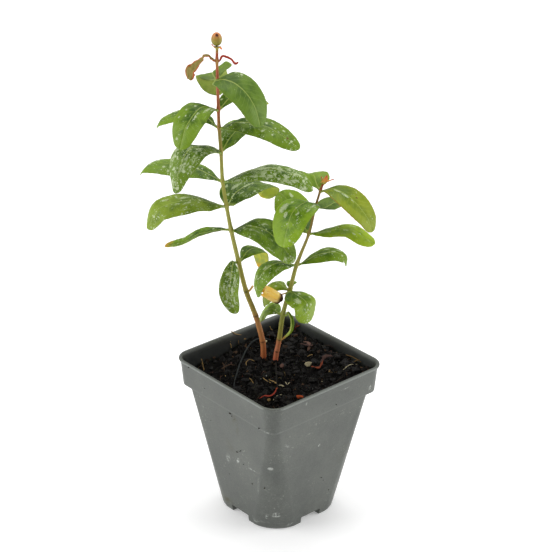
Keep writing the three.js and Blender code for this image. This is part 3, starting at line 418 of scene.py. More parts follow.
# Flakes on the soil: colour, x, y, height above the soil, length, width, heading and lean towards the front
SOIL_FLAKES = [
    ("pale", 17.4, 12.4, 1.4, 4.6, 3.4, 20, 40), ("orange", 12.2, -25.6, 1.4, 4.4, 2.4, -10, 50),
    ("tan", -5.7, -28.4, 0.9, 2.4, 1.8, 30, 40), ("plum", 1.8, 11.6, 1.2, 3.2, 2.4, 40, 45),
    ("bark", 3.7, 32.8, 1, 3.4, 2.6, 0, 40), ("bark", -43, 16, 1.2, 2.6, 2.4, 60, 50),
    ("bark", -39, 19, 1, 2, 1.6, 0, 40), ("tan", -20.6, 32.5, 4.6, 1.6, 1, 10, 60),
    ("tan", -31.4, -0.4, 0.7, 1.4, 0.9, 20, 30), ("plum", 0.6, 37, 1, 2.2, 1.6, -20, 40),
    ("bark", 24, 22, 1, 2.6, 2, 30, 40), ("bark", -26, 25, 0.8, 2.4, 2, 10, 30),
    ("tan", 30, 3, 0.8, 1.8, 1.2, 70, 30), ("pale", -8.4, 38.5, 1.2, 2.6, 2, 0, 30),
]
# Single lumps on the soil: colour, x, y, height above the soil, radius
SOIL_LUMPS = [
    ("pale_grey", -7.6, 0.1, 0.6, 1.15), ("pale", 25.4, -6.5, 0.4, 0.5), ("teal", 40.1, 0.9, 0.8, 0.45),
    ("pale_grey", -10.6, -3.6, 0.5, 0.5), ("tan", -27.2, -0.5, 0.5, 0.5), ("tan", 9.5, 2, 0.4, 0.45),
]
# Scattered over the peat: lumps as colour, count, least and largest radius; strands as colour, count,
# radius and greatest length; flakes as colour, count and greatest length
LUMP_SCATTER = [("black", 260, 0.4, 1.2), ("black", 110, 1.4, 3.2), ("bark", 46, 0.4, 1.1),
                ("grey", 20, 0.3, 0.8)]
STRAND_SCATTER = [("tan", 12, 0.09, 5), ("bark", 70, 0.16, 7), ("rust", 6, 0.1, 4),
                  ("grey_pale", 18, 0.07, 5), ("black", 340, 0.3, 8), ("plum", 14, 0.16, 5)]
FLAKE_SCATTER = [("bark", 60, 2.8), ("black", 460, 4.2), ("plum", 14, 2.4), ("tan", 8, 1.4), ("rust", 4, 1.4)]
LITTER_COLOURS = {
    "tan": ((104, 80, 46), (158, 130, 84)), "pale": ((118, 108, 82), (170, 160, 130)),
    "rust": ((92, 36, 18), (142, 66, 34)), "red": ((84, 22, 14), (142, 48, 32)),
    "orange": ((140, 50, 18), (186, 84, 38)), "bark": ((28, 18, 12), (70, 50, 34)),
    "plum": ((54, 34, 30), (104, 76, 66)), "grey": ((20, 22, 22), (42, 46, 46)),
    "grey_pale": ((66, 68, 66), (112, 114, 110)), "pale_grey": ((82, 86, 84), (146, 150, 146)),
    "black": ((4, 3, 3), (19, 15, 12)), "teal": ((16, 46, 50), (32, 78, 84)),
}
LITTER_SEED = 41
# Dark husks round the foot of each stem
TALL_HUSKS = 9
SHORT_HUSKS = 6


def turned(x, y, z):
    """A place in the plant's frame, in mm, as a place in the pot's frame, in metres."""
    c = math.cos(PLANT_TURN)
    s = math.sin(PLANT_TURN)
    return Vector(((x * c - y * s) * MM, (x * s + y * c) * MM, z * MM))


def srgb(colour):
    """A colour in 0 to 255 display values as linear values with alpha."""
    linear = []
    for value in colour:
        share = value / 255
        linear.append(share / 12.92 if share <= 0.04045 else ((share + 0.055) / 1.055) ** 2.4)
    return (*linear, 1)


def smooth(low, high, value):
    share = min(max((value - low) / (high - low), 0), 1)
    return share * share * (3 - 2 * share)


def circle(count):
    """Evenly spaced angles once round."""
    return [2 * math.pi * k / count for k in range(count)]


class Output:
    """A node's output. Sums, differences, products and quotients of it add math nodes."""

    def __init__(self, paint, socket):
        self.paint = paint
        self.socket = socket

    def __add__(self, other):
        return self.paint.math("ADD", self, other)

    def __sub__(self, other):
        return self.paint.math("SUBTRACT", self, other)

    def __mul__(self, other):
        return self.paint.math("MULTIPLY", self, other)

    def __truediv__(self, other):
        return self.paint.math("DIVIDE", self, other)


class Paint:
    """A Principled material, with short ways to add nodes and to lay colours over its base."""

    def __init__(self, name, roughness=0.5, specular=0.5):
        self.material = bpy.data.materials.new(name)
        self.material.use_nodes = True
        self.tree = self.material.node_tree
        self.shader = self.tree.nodes["Principled BSDF"]
        self.shader.inputs["Roughness"].default_value = roughness
        self.shader.inputs["Specular IOR Level"].default_value = specular
        self.base = None

    def add(self, kind, inputs, output=0, **settings):
        """Adds a node of this kind and gives one of its outputs."""
        node = self.tree.nodes.new("ShaderNode" + kind)
        for name, value in settings.items():
            setattr(node, name, value)
        for name, value in inputs.items():
            self.feed(node.inputs[name], value)
        return Output(self, node.outputs[output])

    def feed(self, socket, value):
        if isinstance(value, Output):
            self.tree.links.new(value.socket, socket)
        else:
            socket.default_value = value

    def attributes(self, *names):
        return [self.add("Attribute", {}, "Fac", attribute_name=name, attribute_type="GEOMETRY")
                for name in names]

    def place(self):
        return self.add("TexCoord", {}, "Object")

    def join(self, x, y, z=0.0):
        return self.add("CombineXYZ", {"X": x, "Y": y, "Z": z})

    def stretch(self, vector, scale):
        return self.add("Mapping", {"Vector": vector, "Scale": scale})

    def math(self, operation, a, b=0.0, clamp=False):
        return self.add("Math", {0: a, 1: b}, operation=operation, use_clamp=clamp)

    def step(self, value, low, high, start=0.0, end=1.0):
        inputs = {"Value": value, "From Min": low, "From Max": high, "To Min": start, "To Max": end}
        return self.add("MapRange", inputs, interpolation_type="SMOOTHSTEP")

    def noise(self, vector, scale, detail=2.0, roughness=0.5):
        inputs = {"Vector": vector, "Scale": scale, "Detail": detail, "Roughness": roughness}
        return self.add("TexNoise", inputs)

    def mix(self, share, a, b):
        """Colours are nodes' outputs or display values."""
        a, b = (colour if isinstance(colour, Output) else srgb(colour) for colour in (a, b))
        return self.add("Mix", {0: share, 6: a, 7: b}, 2, data_type="RGBA")

    def lay(self, share, colour, amount=None):
        """Covers the base with a colour by this share, or by an amount of it."""
        self.base = self.mix(share if amount is None else share * amount, self.base, colour)

    def ramp(self, value, stops):
        ramp = self.add("ValToRGB", {0: value})
        band = ramp.socket.node.color_ramp
        while len(band.elements) < len(stops):
            band.elements.new(0.5)
        for element, (position, colour) in zip(band.elements, stops):
            element.position = position
            element.color = srgb(colour)
        return ramp

    def finish(self, roughness=None, height=None, distance=0.0, strength=1.0):
        """The material with its base, and where given a roughness and a height for small bumps."""
        self.feed(self.shader.inputs["Base Color"], self.base)
        if roughness is not None:
            self.feed(self.shader.inputs["Roughness"], roughness)
        if height is not None:
            bump = self.add("Bump", {"Height": height, "Distance": distance, "Strength": strength})
            self.feed(self.shader.inputs["Normal"], bump)
        return self.material


def set_attributes(mesh, attributes):
    for key, values in attributes.items():
        layer = mesh.attributes.new(key, "FLOAT", "POINT")
        layer.data.foreach_set("value", np.asarray(values, np.float32))


def put_in_scene(name, vertices, faces, attributes=None):
    mesh = bpy.data.meshes.new(name)
    mesh.from_pydata([tuple(v) for v in vertices], [], faces)
    mesh.shade_smooth()
    set_attributes(mesh, attributes or {})
    piece = bpy.data.objects.new(name, mesh)
    bpy.context.scene.collection.objects.link(piece)
    return piece


def keep(piece, material, nodes=()):
    """The piece rides with the pot's body, takes this material and stands for these solids."""
    piece.data.materials.append(material)
    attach(piece, "root")
    if nodes:
        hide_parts(*nodes)


def loft_faces(rings, count):
    faces = []
    for r in range(rings - 1):
        for i in range(count):
            a = r * count + i
            b = r * count + (i + 1) % count
            faces.append((a, b, b + count, a + count))
    faces.append(tuple(reversed(range(count))))
    faces.append(tuple(range((rings - 1) * count, rings * count)))
    return faces


class Line:
    """A smooth curve through points, read by share of its length."""

    def __init__(self, points, steps=400):
        self.points = [Vector(p) for p in points]
        self.shares = [i / steps for i in range(steps + 1)]
        places = [self.raw(t) for t in self.shares]
        self.lengths = [0.0]
        for a, b in zip(places, places[1:]):
            self.lengths.append(self.lengths[-1] + (b - a).length)
        self.length = self.lengths[-1]

    def raw(self, t):
        points = self.points
        last = len(points) - 1
        place = last * t
        i = min(int(place), last - 1)
        w = place - i
        b = points[i]
        c = points[i + 1]
        a = points[i - 1] if i > 0 else 2 * b - c
        d = points[i + 2] if i + 2 <= last else 2 * c - b
        start = 0.5 * (c - a)
        end = 0.5 * (d - b)
        w2 = w * w
        w3 = w2 * w
        return ((2 * w3 - 3 * w2 + 1) * b + (w3 - 2 * w2 + w) * start
                + (3 * w2 - 2 * w3) * c + (w3 - w2) * end)

    def at(self, share):
        return self.raw(float(np.interp(share * self.length, self.lengths, self.shares)))

    def tangent(self, share):
        step = 0.002
        return (self.at(min(share + step, 1)) - self.at(max(share - step, 0))).normalized()


def outline_at(outline, share):
    """A blade's half width at a share of its length, softened a little along it."""
    places, values = zip(*outline)
    soft = 0
    width = 0.035 * min(1, 8 * (1 - share))
    for shift in (-width, 0, width):
        soft += float(np.interp(min(max(share + shift, 0), 1), places, values)) / 3
    return soft


def leaf_frame(row, joint, radius):
    """The foot of a leaf, its middle line from inside the stem, and its level left."""
    heading = math.radians(row["heading"])
    side = math.radians(row.get("side", row["heading"]))
    away = radius + row.get("clear", STALK_CLEARANCE)
    joint = Vector(joint)
    outward = Vector((math.cos(side), math.sin(side), 0))
    lift = Vector((0, 0, row.get("lift", 0)))
    foot = joint + outward * away + lift
    inside = joint + outward * radius * 0.4 - Vector((0, 0, 0.6)) + lift
    line = Line([foot] + [joint + Vector(p) for p in row["path"]])
    level = Vector((-math.sin(heading), math.cos(heading), 0))
    return inside, line, level


def build_blade(row, joint, radius, outline, material, slot, stations=60, columns=27,
                thickness=LEAF_THICKNESS, crumple=0.0, vein=True):
    """One leaf or dry strip as a closed thin blade with a midrib, side veins and a soft margin."""
    inside, line, level = leaf_frame(row, joint, radius)
    seed = sum(ord(letter) * (i + 3) for i, letter in enumerate(row["name"])) % 997
    fold = math.radians(row.get("fold", 0))
    curl = math.radians(row.get("curl", 0))
    vertices = []
    marks = {"along": [], "across": [], "reach": [], "edge": [], "under": []}
    for step in range(-STALK_RINGS, stations + 1):
        share = 1 - (1 - max(step, 0) / stations) ** 1.35
        tangent = line.tangent(share)
        if step < 0:
            centre = line.at(0).lerp(inside, -step / STALK_RINGS)
            half = STALK_HALF_WIDTH
            blade_thick = STALK_THICKNESS
        else:
            centre = line.at(share)
            half = max(outline_at(outline, share) * row["width"] / 2, 0.3)
            half *= 1 - row.get("point", 0) * smooth(0.55, 1, share)
            if vein:
                half = max(half, STALK_HALF_WIDTH * max(0, 1 - share / 0.06))
            blade_thick = thickness + (1.0 - thickness) * max(0, 1 - share / 0.07)
        left = (level - tangent * level.dot(tangent)).normalized()
        normal = tangent.cross(left)
        roll = math.radians(float(np.interp(share, (0, 0.5, 1), row.get("roll", (0, 0, 0)))))
        left = left * math.cos(roll) + normal * math.sin(roll)
        up = tangent.cross(left)
        distance = share * line.length
        half_waved = half * (1 + 0.02 * noise.noise(Vector((distance * 0.18, seed, 1.5))))
        # A fuller right half swells in its middle and draws in at the foot
        swell = 1.8 * math.exp(-((share - 0.24) / 0.18) ** 2)
        swell -= 1.05 * (1 - smooth(0.4, 0.7, share))
        swell = 1 + row.get("fuller", 0) * swell
        top = []
        bottom = []
        reaches = []
        edges = []
        for column in range(columns):
            across = -1 + 2 * column / (columns - 1)
            across = math.copysign(abs(across) ** 0.92, across)
            bend = fold + curl * abs(across)
            reach = across * half_waved
            if across < 0:
                reach *= swell
            sideways = reach * math.cos(bend)
            lift = abs(reach) * math.sin(bend)
            place = Vector((distance * 0.12, reach * 0.16, seed * 1.7))
            wave = noise.noise(place) * 0.5 * smooth(0.03, 0.2, share)
            wave += noise.noise(place * 2.7) * 0.16
            if crumple:
                wave += crumple * noise.noise(Vector((distance * 0.5, reach * 0.55, seed)))
                sideways += crumple * 0.5 * noise.noise(Vector((distance * 0.45, seed, reach * 0.2)))
            groove = 0
            rib = 0
            if vein:
                groove = -0.22 * math.exp(-(reach / 0.55) ** 2) * smooth(0, 0.1, share)
                rib = 0.3 * math.exp(-(reach / 0.5) ** 2) * (1 - share)
                phase = (distance - VEIN_LEAN * abs(reach)) / VEIN_SPACING + seed * 0.13
                wave += 0.05 * math.cos(2 * math.pi * phase) * smooth(0.1, 0.35, abs(across))
            thin = blade_thick * (1 - 0.72 * abs(across) ** 5)
            base = centre + left * sideways + up * (lift + wave)
            tilt = -bend * (1 if across > 0 else -1 if across < 0 else 0)
            face = up * math.cos(tilt) + left * math.sin(tilt)
            top.append(base + face * (thin / 2 + groove))
            bottom.append(base - face * (thin / 2 + rib - groove * 0.5))
            reaches.append(reach)
            edges.append(abs(across))
        # Each ring runs over the underside and then back over the top
        vertices += [turned(*p) for p in bottom + top[::-1]]
        marks["along"] += [distance if step >= 0 else step * 0.4] * 2 * columns
        marks["across"] += reaches + reaches[::-1]
        marks["reach"] += [share] * 2 * columns
        marks["edge"] += edges + edges[::-1]
        marks["under"] += [1.0] * columns + [0.0] * columns
    for key, patches in (("patch", "patches"), ("spot", "spots")):
        marks[key] = soft_patches(row.get(patches, ()), marks, line.length, row["width"])
    faces = loft_faces(stations + 1 + STALK_RINGS, 2 * columns)
    keep(put_in_scene(row["name"] + "_blade", vertices, faces, marks), material, [row["name"]])


def soft_patches(patches, marks, length, width):
    """How strongly each point lies in the leaf's own pale patches, from places given as shares."""
    along = np.array(marks["along"])
    across = np.array(marks["across"])
    strength = np.zeros(len(along))
    for share, side, long_mm, wide_mm, amount in patches:
        u = (along - share * length) / long_mm
        v = (across - side * width / 2) / wide_mm
        strength = np.maximum(strength, amount * np.exp(-(u * u + v * v)))
    return strength


def leaf_material(look, seed):
    """Green blade with a pale midrib and side veins, chalky specks and patches that are partly a painted
    highlight, and a paler, duller underside brightened with a painted glow of light shining through.
    """
    paint = Paint(look["name"] + "_skin", roughness=0.42, specular=0.22)
    along, across, reach, edge = paint.attributes("along", "across", "reach", "edge")
    under, patch, spot = paint.attributes("under", "patch", "spot")
    flat = paint.join(along, across, float(seed))
    away = paint.math("ABSOLUTE", across)
    top = paint.math("SUBTRACT", 1.0, under, clamp=True)

    # Broad tone: darker near the foot and the midrib, brighter to the margin and tip
    cloud = paint.noise(flat, 0.16, 3.0, 0.55)
    tone = reach * 0.35 + cloud + edge * 0.22
    paint.base = paint.mix(paint.step(tone, 0.5, 0.95), look["deep"], look["bright"])
    grain = paint.noise(flat, 2.2, 3.0, 0.6)
    paint.lay(paint.step(grain, 0.35, 0.7, 0.0, 0.16), look["deep"])

    # Side veins run out and forwards from the midrib
    phase = (along + away * -VEIN_LEAN) / VEIN_SPACING
    wave = paint.math("SINE", (phase + paint.noise(flat, 0.3, 1.0) * 0.9) * (2 * math.pi))
    veins = paint.step(wave, 0.9, 1.0) * paint.step(edge, 0.95, 0.55)
    paint.lay(veins, [0.55 * v + 0.45 * p for v, p in zip(look["bright"], VEIN_PALE)], 0.35)

    # Underside: its own paler yellow-green, brightened by a painted glow of light shining through, and matt
    underside_with_painted_glow = paint.mix(paint.step(cloud, 0.35, 0.65), look.get("under", (140, 160, 68)), (160, 174, 84))
    paint.lay(under, underside_with_painted_glow)

    # Midrib, tapering to the tip, a fine pale margin, and a foot and stalk of the same pale green
    rib_width = paint.step(reach, 0.0, 1.0, 0.6, 0.16)
    paint.lay(paint.step(away / rib_width, 1.0, 0.45), (150, 166, 78), 0.85)
    paint.lay(paint.step(edge, 0.955, 1.0), look.get("margin", (134, 150, 66)), 0.75)
    paint.lay(paint.step(along, 2.2, 0.2), (150, 168, 78), 0.8)

    # Chalk: smears that run along the blade, large and small drops, and this leaf's own patches,
    # which are partly chalk and partly a painted highlight
    amount = look["chalk"]
    fine = paint.noise(flat, 1.3, 4.0, 0.7)
    smear = paint.noise(paint.stretch(flat, (0.15, 0.42, 1.0)), 1.0, 3.0, 0.6) + fine * 0.3
    chalk = paint.step(smear, 0.85 - 0.13 * amount, 0.95 - 0.13 * amount, 0.0, 0.35 + 0.4 * look["haze"])
    where = paint.noise(flat, 0.12, 2.0, 0.5)
    jitter = paint.noise(flat, 1.1, 3.0, 0.6)
    moved = paint.add("VectorMath", {0: flat, 1: paint.join(jitter, jitter * -1.3)}, operation="ADD")
    for scale, soft in ((0.3, 0.14), (0.62, 0.14), (1.4, 0.16)):
        cells = {"Vector": moved, "Scale": scale}
        distance = paint.add("TexVoronoi", cells, "Distance", voronoi_dimensions="2D")
        colour = Output(paint, distance.socket.node.outputs["Color"])
        chance = paint.add("SeparateColor", {"Color": colour}) + where
        kept = paint.step(chance, 1.52 - 0.26 * amount, 1.7 - 0.26 * amount, 0.0, 0.34)
        chalk = paint.math("MAXIMUM", chalk, paint.step(kept - distance, 0.0, soft))
    # This leaf's own patches: partly chalk, partly a painted highlight
    own = paint.step(patch * paint.step(fine, 0.3, 0.62, 0.35, 1.35), 0.36, 0.62)
    chalk = paint.math("MAXIMUM", chalk, own) * top * paint.step(edge, 1.0, 0.92)
    paint.lay(chalk, (190, 202, 162), 0.82)

    # Dark spots, and a coloured tip where this leaf has one
    paint.lay(paint.step(spot * paint.step(fine, 0.2, 0.6, 0.7, 1.3), 0.35, 0.7), (96, 58, 30), 0.85)
    if "tip" in look:
        start = look.get("tip_from", 0.8)
        paint.lay(paint.step(reach + (cloud - 0.5) * 0.25, start, start + 0.16), look["tip"])
    roughness = paint.step(grain, 0.3, 0.7, 0.38, 0.5) + chalk * 0.3 + under * 0.2
    return paint.finish(roughness, grain * 0.4 - veins * 0.5 + chalk * 0.35, 0.00012, 0.5)


def build_leaves():
    for rows, stem, first_seed in ((TALL_LEAVES, TALL_STEM, 0), (SHORT_LEAVES, SHORT_STEM, 211)):
        for number, row in enumerate(rows):
            material = leaf_material(row, number * 13.7 + first_seed)
            build_blade(row, *stem[row["joint"]], row.get("outline", NARROW), material, "leaf")


def stem_material(name, stops):
    """Young bark: colour bands by height, fine lengthwise streaks and dark rings at old leaf scars."""
    paint = Paint(name, roughness=0.5, specular=0.4)
    climb, around, share, scar = paint.attributes("climb", "around", "share", "scar")
    streaks = paint.noise(paint.join(climb * 0.12, around * 1.2), 6.0, 3.0, 0.6)
    paint.base = paint.ramp(share + (streaks - 0.5) * 0.06, stops)
    paint.lay(paint.step(streaks, 0.4, 0.75, 0.0, 0.4), (176, 160, 84))
    specks = paint.noise(paint.place(), 900.0, 2.0, 0.6)
    paint.lay(paint.step(specks, 0.6, 0.8, 0.0, 0.45), (96, 58, 26))
    paint.lay(scar, (38, 26, 12))
    return paint.finish(paint.step(streaks, 0.3, 0.7, 0.42, 0.6), streaks + specks * 0.3, 0.0001, 0.6)


def build_stem(name, rows, leaf_joints, scar_joints, material, sides=28, steps=18, slim=0.0):
    """A stem with swollen nodes, faint ridges, scars and a flared red foot."""
    line = Line([at for at, _ in rows], steps=800)
    last = len(rows) - 1
    low_z = rows[0][0][2]
    high_z = rows[-1][0][2]
    vertices = []
    marks = {"climb": [], "around": [], "share": [], "scar": []}
    side = Vector((1, 0, 0))
    count = last * steps
    seed = len(rows) * 7.3
    for i in range(count + 1):
        t = i / count
        place = t * last
        low = min(int(place), last - 1)
        centre = line.raw(t)
        ahead = line.raw(min(t + 0.003, 1)) - line.raw(max(t - 0.003, 0))
        ahead.normalize()
        side = (side - ahead * side.dot(ahead)).normalized()
        other = ahead.cross(side)
        radius = rows[low][1] + (rows[low + 1][1] - rows[low][1]) * (place - low)
        radius *= 1 - slim * smooth(0.5, 0.7, t)
        swell = 0
        mark = 0
        for j, (joint, _) in enumerate(rows):
            gap = (centre - Vector(joint)).length
            if j in leaf_joints:
                swell = max(swell, 0.3 * math.exp(-(gap / 1.7) ** 2))
            if j in scar_joints:
                swell = max(swell, 0.16 * math.exp(-(gap / 1.3) ** 2))
                mark = max(mark, math.exp(-((gap - 0.15) / 0.32) ** 2))
        if t < 0.04:
            swell = max(swell, 0.12 * (1 - t / 0.04))
        for k, angle in enumerate(circle(sides)):
            c = math.cos(angle)
            s = math.sin(angle)
            ridge = 0.04 * math.cos(2 * angle + 0.6) + 0.02 * math.cos(4 * angle)
            rough = 0.06 * noise.noise(Vector((c * 1.2, s * 1.2, centre.z * 0.22 + seed)))
            reach = radius * (1 + ridge + rough) + swell
            point = centre + side * (reach * c) + other * (reach * s)
            if i == 0:
                point.z = low_z - STEM_SUNK
            vertices.append(turned(*point))
            marks["climb"].append(centre.z)
            marks["around"].append(abs(k / sides - 0.5) * 6)
            marks["share"].append((centre.z - low_z) / (high_z - low_z))
            marks["scar"].append(mark * (0.75 + 0.25 * math.sin(angle * 3)))
    piece = put_in_scene(name + "_bark", vertices, loft_faces(count + 1, sides), marks)
    keep(piece, material, [name])


def build_stems():
    tall = stem_material("tall_bark", TALL_COLOURS)
    short = stem_material("short_bark", SHORT_COLOURS)
    build_stem("tall_stem", TALL_STEM, range(4, 13), (1, 2, 3), tall)
    build_stem("short_stem", SHORT_STEM, range(3, 9), (1, 2), short, slim=0.26)


def rounded_square(half, corner, z, flat=0.0, arc_steps=16, straight_steps=56):
    """A square ring with round corners, anticlockwise from above, as places in metres.

    Flat moves each corner's arc this share of the way to its chord, which leaves soft edges beside it.
    """
    points = []
    reach = half - corner
    for quarter in range(4):
        start = quarter * math.pi / 2
        cx = math.sqrt(2) * math.cos(start + math.pi / 4) * reach
        cy = math.sqrt(2) * math.sin(start + math.pi / 4) * reach
        chord_start = Vector((math.cos(start), math.sin(start), 0))
        chord_end = Vector((-math.sin(start), math.cos(start), 0))
        for step in range(arc_steps + 1):
            angle = start + step / arc_steps * math.pi / 2
            arc = Vector((math.cos(angle), math.sin(angle), 0))
            chord = chord_start.lerp(chord_end, step / arc_steps)
            points.append((Vector((cx, cy, z)) + arc.lerp(chord, flat) * corner) * MM)
        last = points[-1]
        ahead = Vector((math.cos(start + math.pi), math.sin(start + math.pi), 0))
        for step in range(1, straight_steps):
            points.append(last + ahead * (2 * reach * step / straight_steps) * MM)
    return points


def between(start, end, share):
    return start + (end - start) * share


def body_at(z):
    """Half width and corner radius of the tapering body at a height."""
    share = z / BAND_FOOT
    return between(BODY_FOOT_HALF, BODY_TOP_HALF, share), between(BODY_FOOT_CORNER, BODY_TOP_CORNER, share)


def band_at(share):
    """Half width and corner radius of the band at a share of the way up."""
    return between(BAND_FOOT_HALF, BAND_TOP_HALF, share), BAND_FOOT_CORNER + BAND_CORNER_GROWTH * share


def outside_at(z):
    """Half width and corner radius of the pot's outside at a height, band included."""
    if z < BAND_FOOT:
        return body_at(z)
    return band_at(min((z - BAND_FOOT) / (BAND_HEIGHT - LIP_HEIGHT), 1))


def pot_place(face, across, z):
    """A point on the pot's outside, with the outward and sideways directions there, in mm."""
    half, corner = outside_at(z)
    over = abs(across) - (half - corner)
    away = half
    lean = 0.0
    if over > 0:
        over = min(over, corner * 0.98)
        away = half - corner + math.sqrt(corner * corner - over * over)
        if z < BAND_FOOT:
            away += (half - over - away) * BODY_CORNER_FLAT
        lean = math.asin(over / corner) * math.copysign(1, across)
    out = (-math.cos(lean), math.sin(lean))
    if face == "left":
        return Vector((-away, across, z)), Vector((*out, 0)), Vector((out[1], -out[0], 0))
    return Vector((across, -away, z)), Vector((out[1], out[0], 0)), Vector((-out[0], out[1], 0))


def pot_marks(places, marks):
    """How strongly each of these places, in mm, is covered by a list of soft oval marks."""
    strength = np.zeros(len(places))
    for face, across, z, long_half, wide_half, lean, amount in marks:
        centre, out, sideways = pot_place(face, across, z)
        delta = places - np.array(centre)
        u = delta @ np.array(sideways)
        v = delta[:, 2]
        near = np.abs(delta @ np.array(out)) < 4
        c = math.cos(math.radians(lean))
        s = math.sin(math.radians(lean))
        a = (u * c + v * s) / long_half
        b = (v * c - u * s) / wide_half
        strength = np.maximum(strength, amount * np.exp(-(a * a + b * b)) * near)
    return strength


def pot_material():
    """Matt grey plastic with fine scratches, pale scuffs and old stains, a painted highlight on the rim
    and along the band's crease, paler at the foot, and painted shade on the inner wall.
    """
    paint = Paint("pot_plastic", roughness=0.5, specular=0.4)
    place = paint.place()
    scuff_and_highlight, stain, highlight_and_pale_foot, inside = paint.attributes("scuff_and_highlight", "stain", "highlight_and_pale_foot", "inside")
    broad = paint.noise(place, 28.0, 3.0, 0.55)
    mottle = paint.noise(place, 230.0, 4.0, 0.7)
    grain = paint.noise(place, 1500.0, 2.0, 0.6)
    paint.base = paint.mix(paint.step(broad, 0.35, 0.68), (79, 82, 78), (90, 93, 88))
    paint.lay(paint.step(mottle, 0.38, 0.68, 0.0, 0.4), (102, 106, 100))
    paint.lay(paint.step(grain, 0.45, 0.7, 0.0, 0.25), (104, 108, 102))
    paint.lay(paint.step(grain, 0.48, 0.3, 0.0, 0.25), (62, 65, 61))
    patch = paint.step(paint.noise(place, 60.0, 2.0, 0.6), 0.45, 0.7)
    scratch = paint.noise(paint.stretch(place, (260, 260, 1900)), 1.0, 2.0, 0.7)
    paint.lay(paint.step(scratch, 0.64, 0.74, 0.0, 0.35) * patch, (150, 154, 148))
    dust = paint.noise(place, 620.0, 3.0, 0.75)
    paint.lay(paint.step(dust, 0.59, 0.68, 0.0, 0.7) * patch, (142, 145, 136))
    # Pale scuffs, and a painted highlight along the band's crease at the front corner
    rough_mark = paint.step(paint.noise(place, 800.0, 3.0, 0.75), 0.4, 0.6, 0.0, 1.3)
    scuff_and_highlight_mask = paint.math("MULTIPLY", paint.step(scuff_and_highlight, 0.12, 0.8), rough_mark, clamp=True)
    paint.lay(scuff_and_highlight_mask, (178, 182, 176), 0.95)
    uneven = paint.step(paint.noise(place, 260.0, 3.0, 0.7), 0.35, 0.6)
    paint.lay(paint.math("MULTIPLY", stain, uneven, clamp=True), (70, 66, 38), 0.75)
    # Painted highlight on the rim and along the band's crease, and paler at the foot
    paint.lay(highlight_and_pale_foot, (150, 156, 150), 0.5)
    # Painted shade on the inner wall, from the soil up to just below the rim's top
    paint.lay(inside, (22, 25, 23), 0.96)
    roughness = paint.step(mottle, 0.3, 0.7, 0.38, 0.56) + scuff_and_highlight_mask * 0.2
    return paint.finish(roughness, grain * 0.4 + scuff_and_highlight_mask * 0.4 + mottle * 1.2, 0.00012, 0.6)


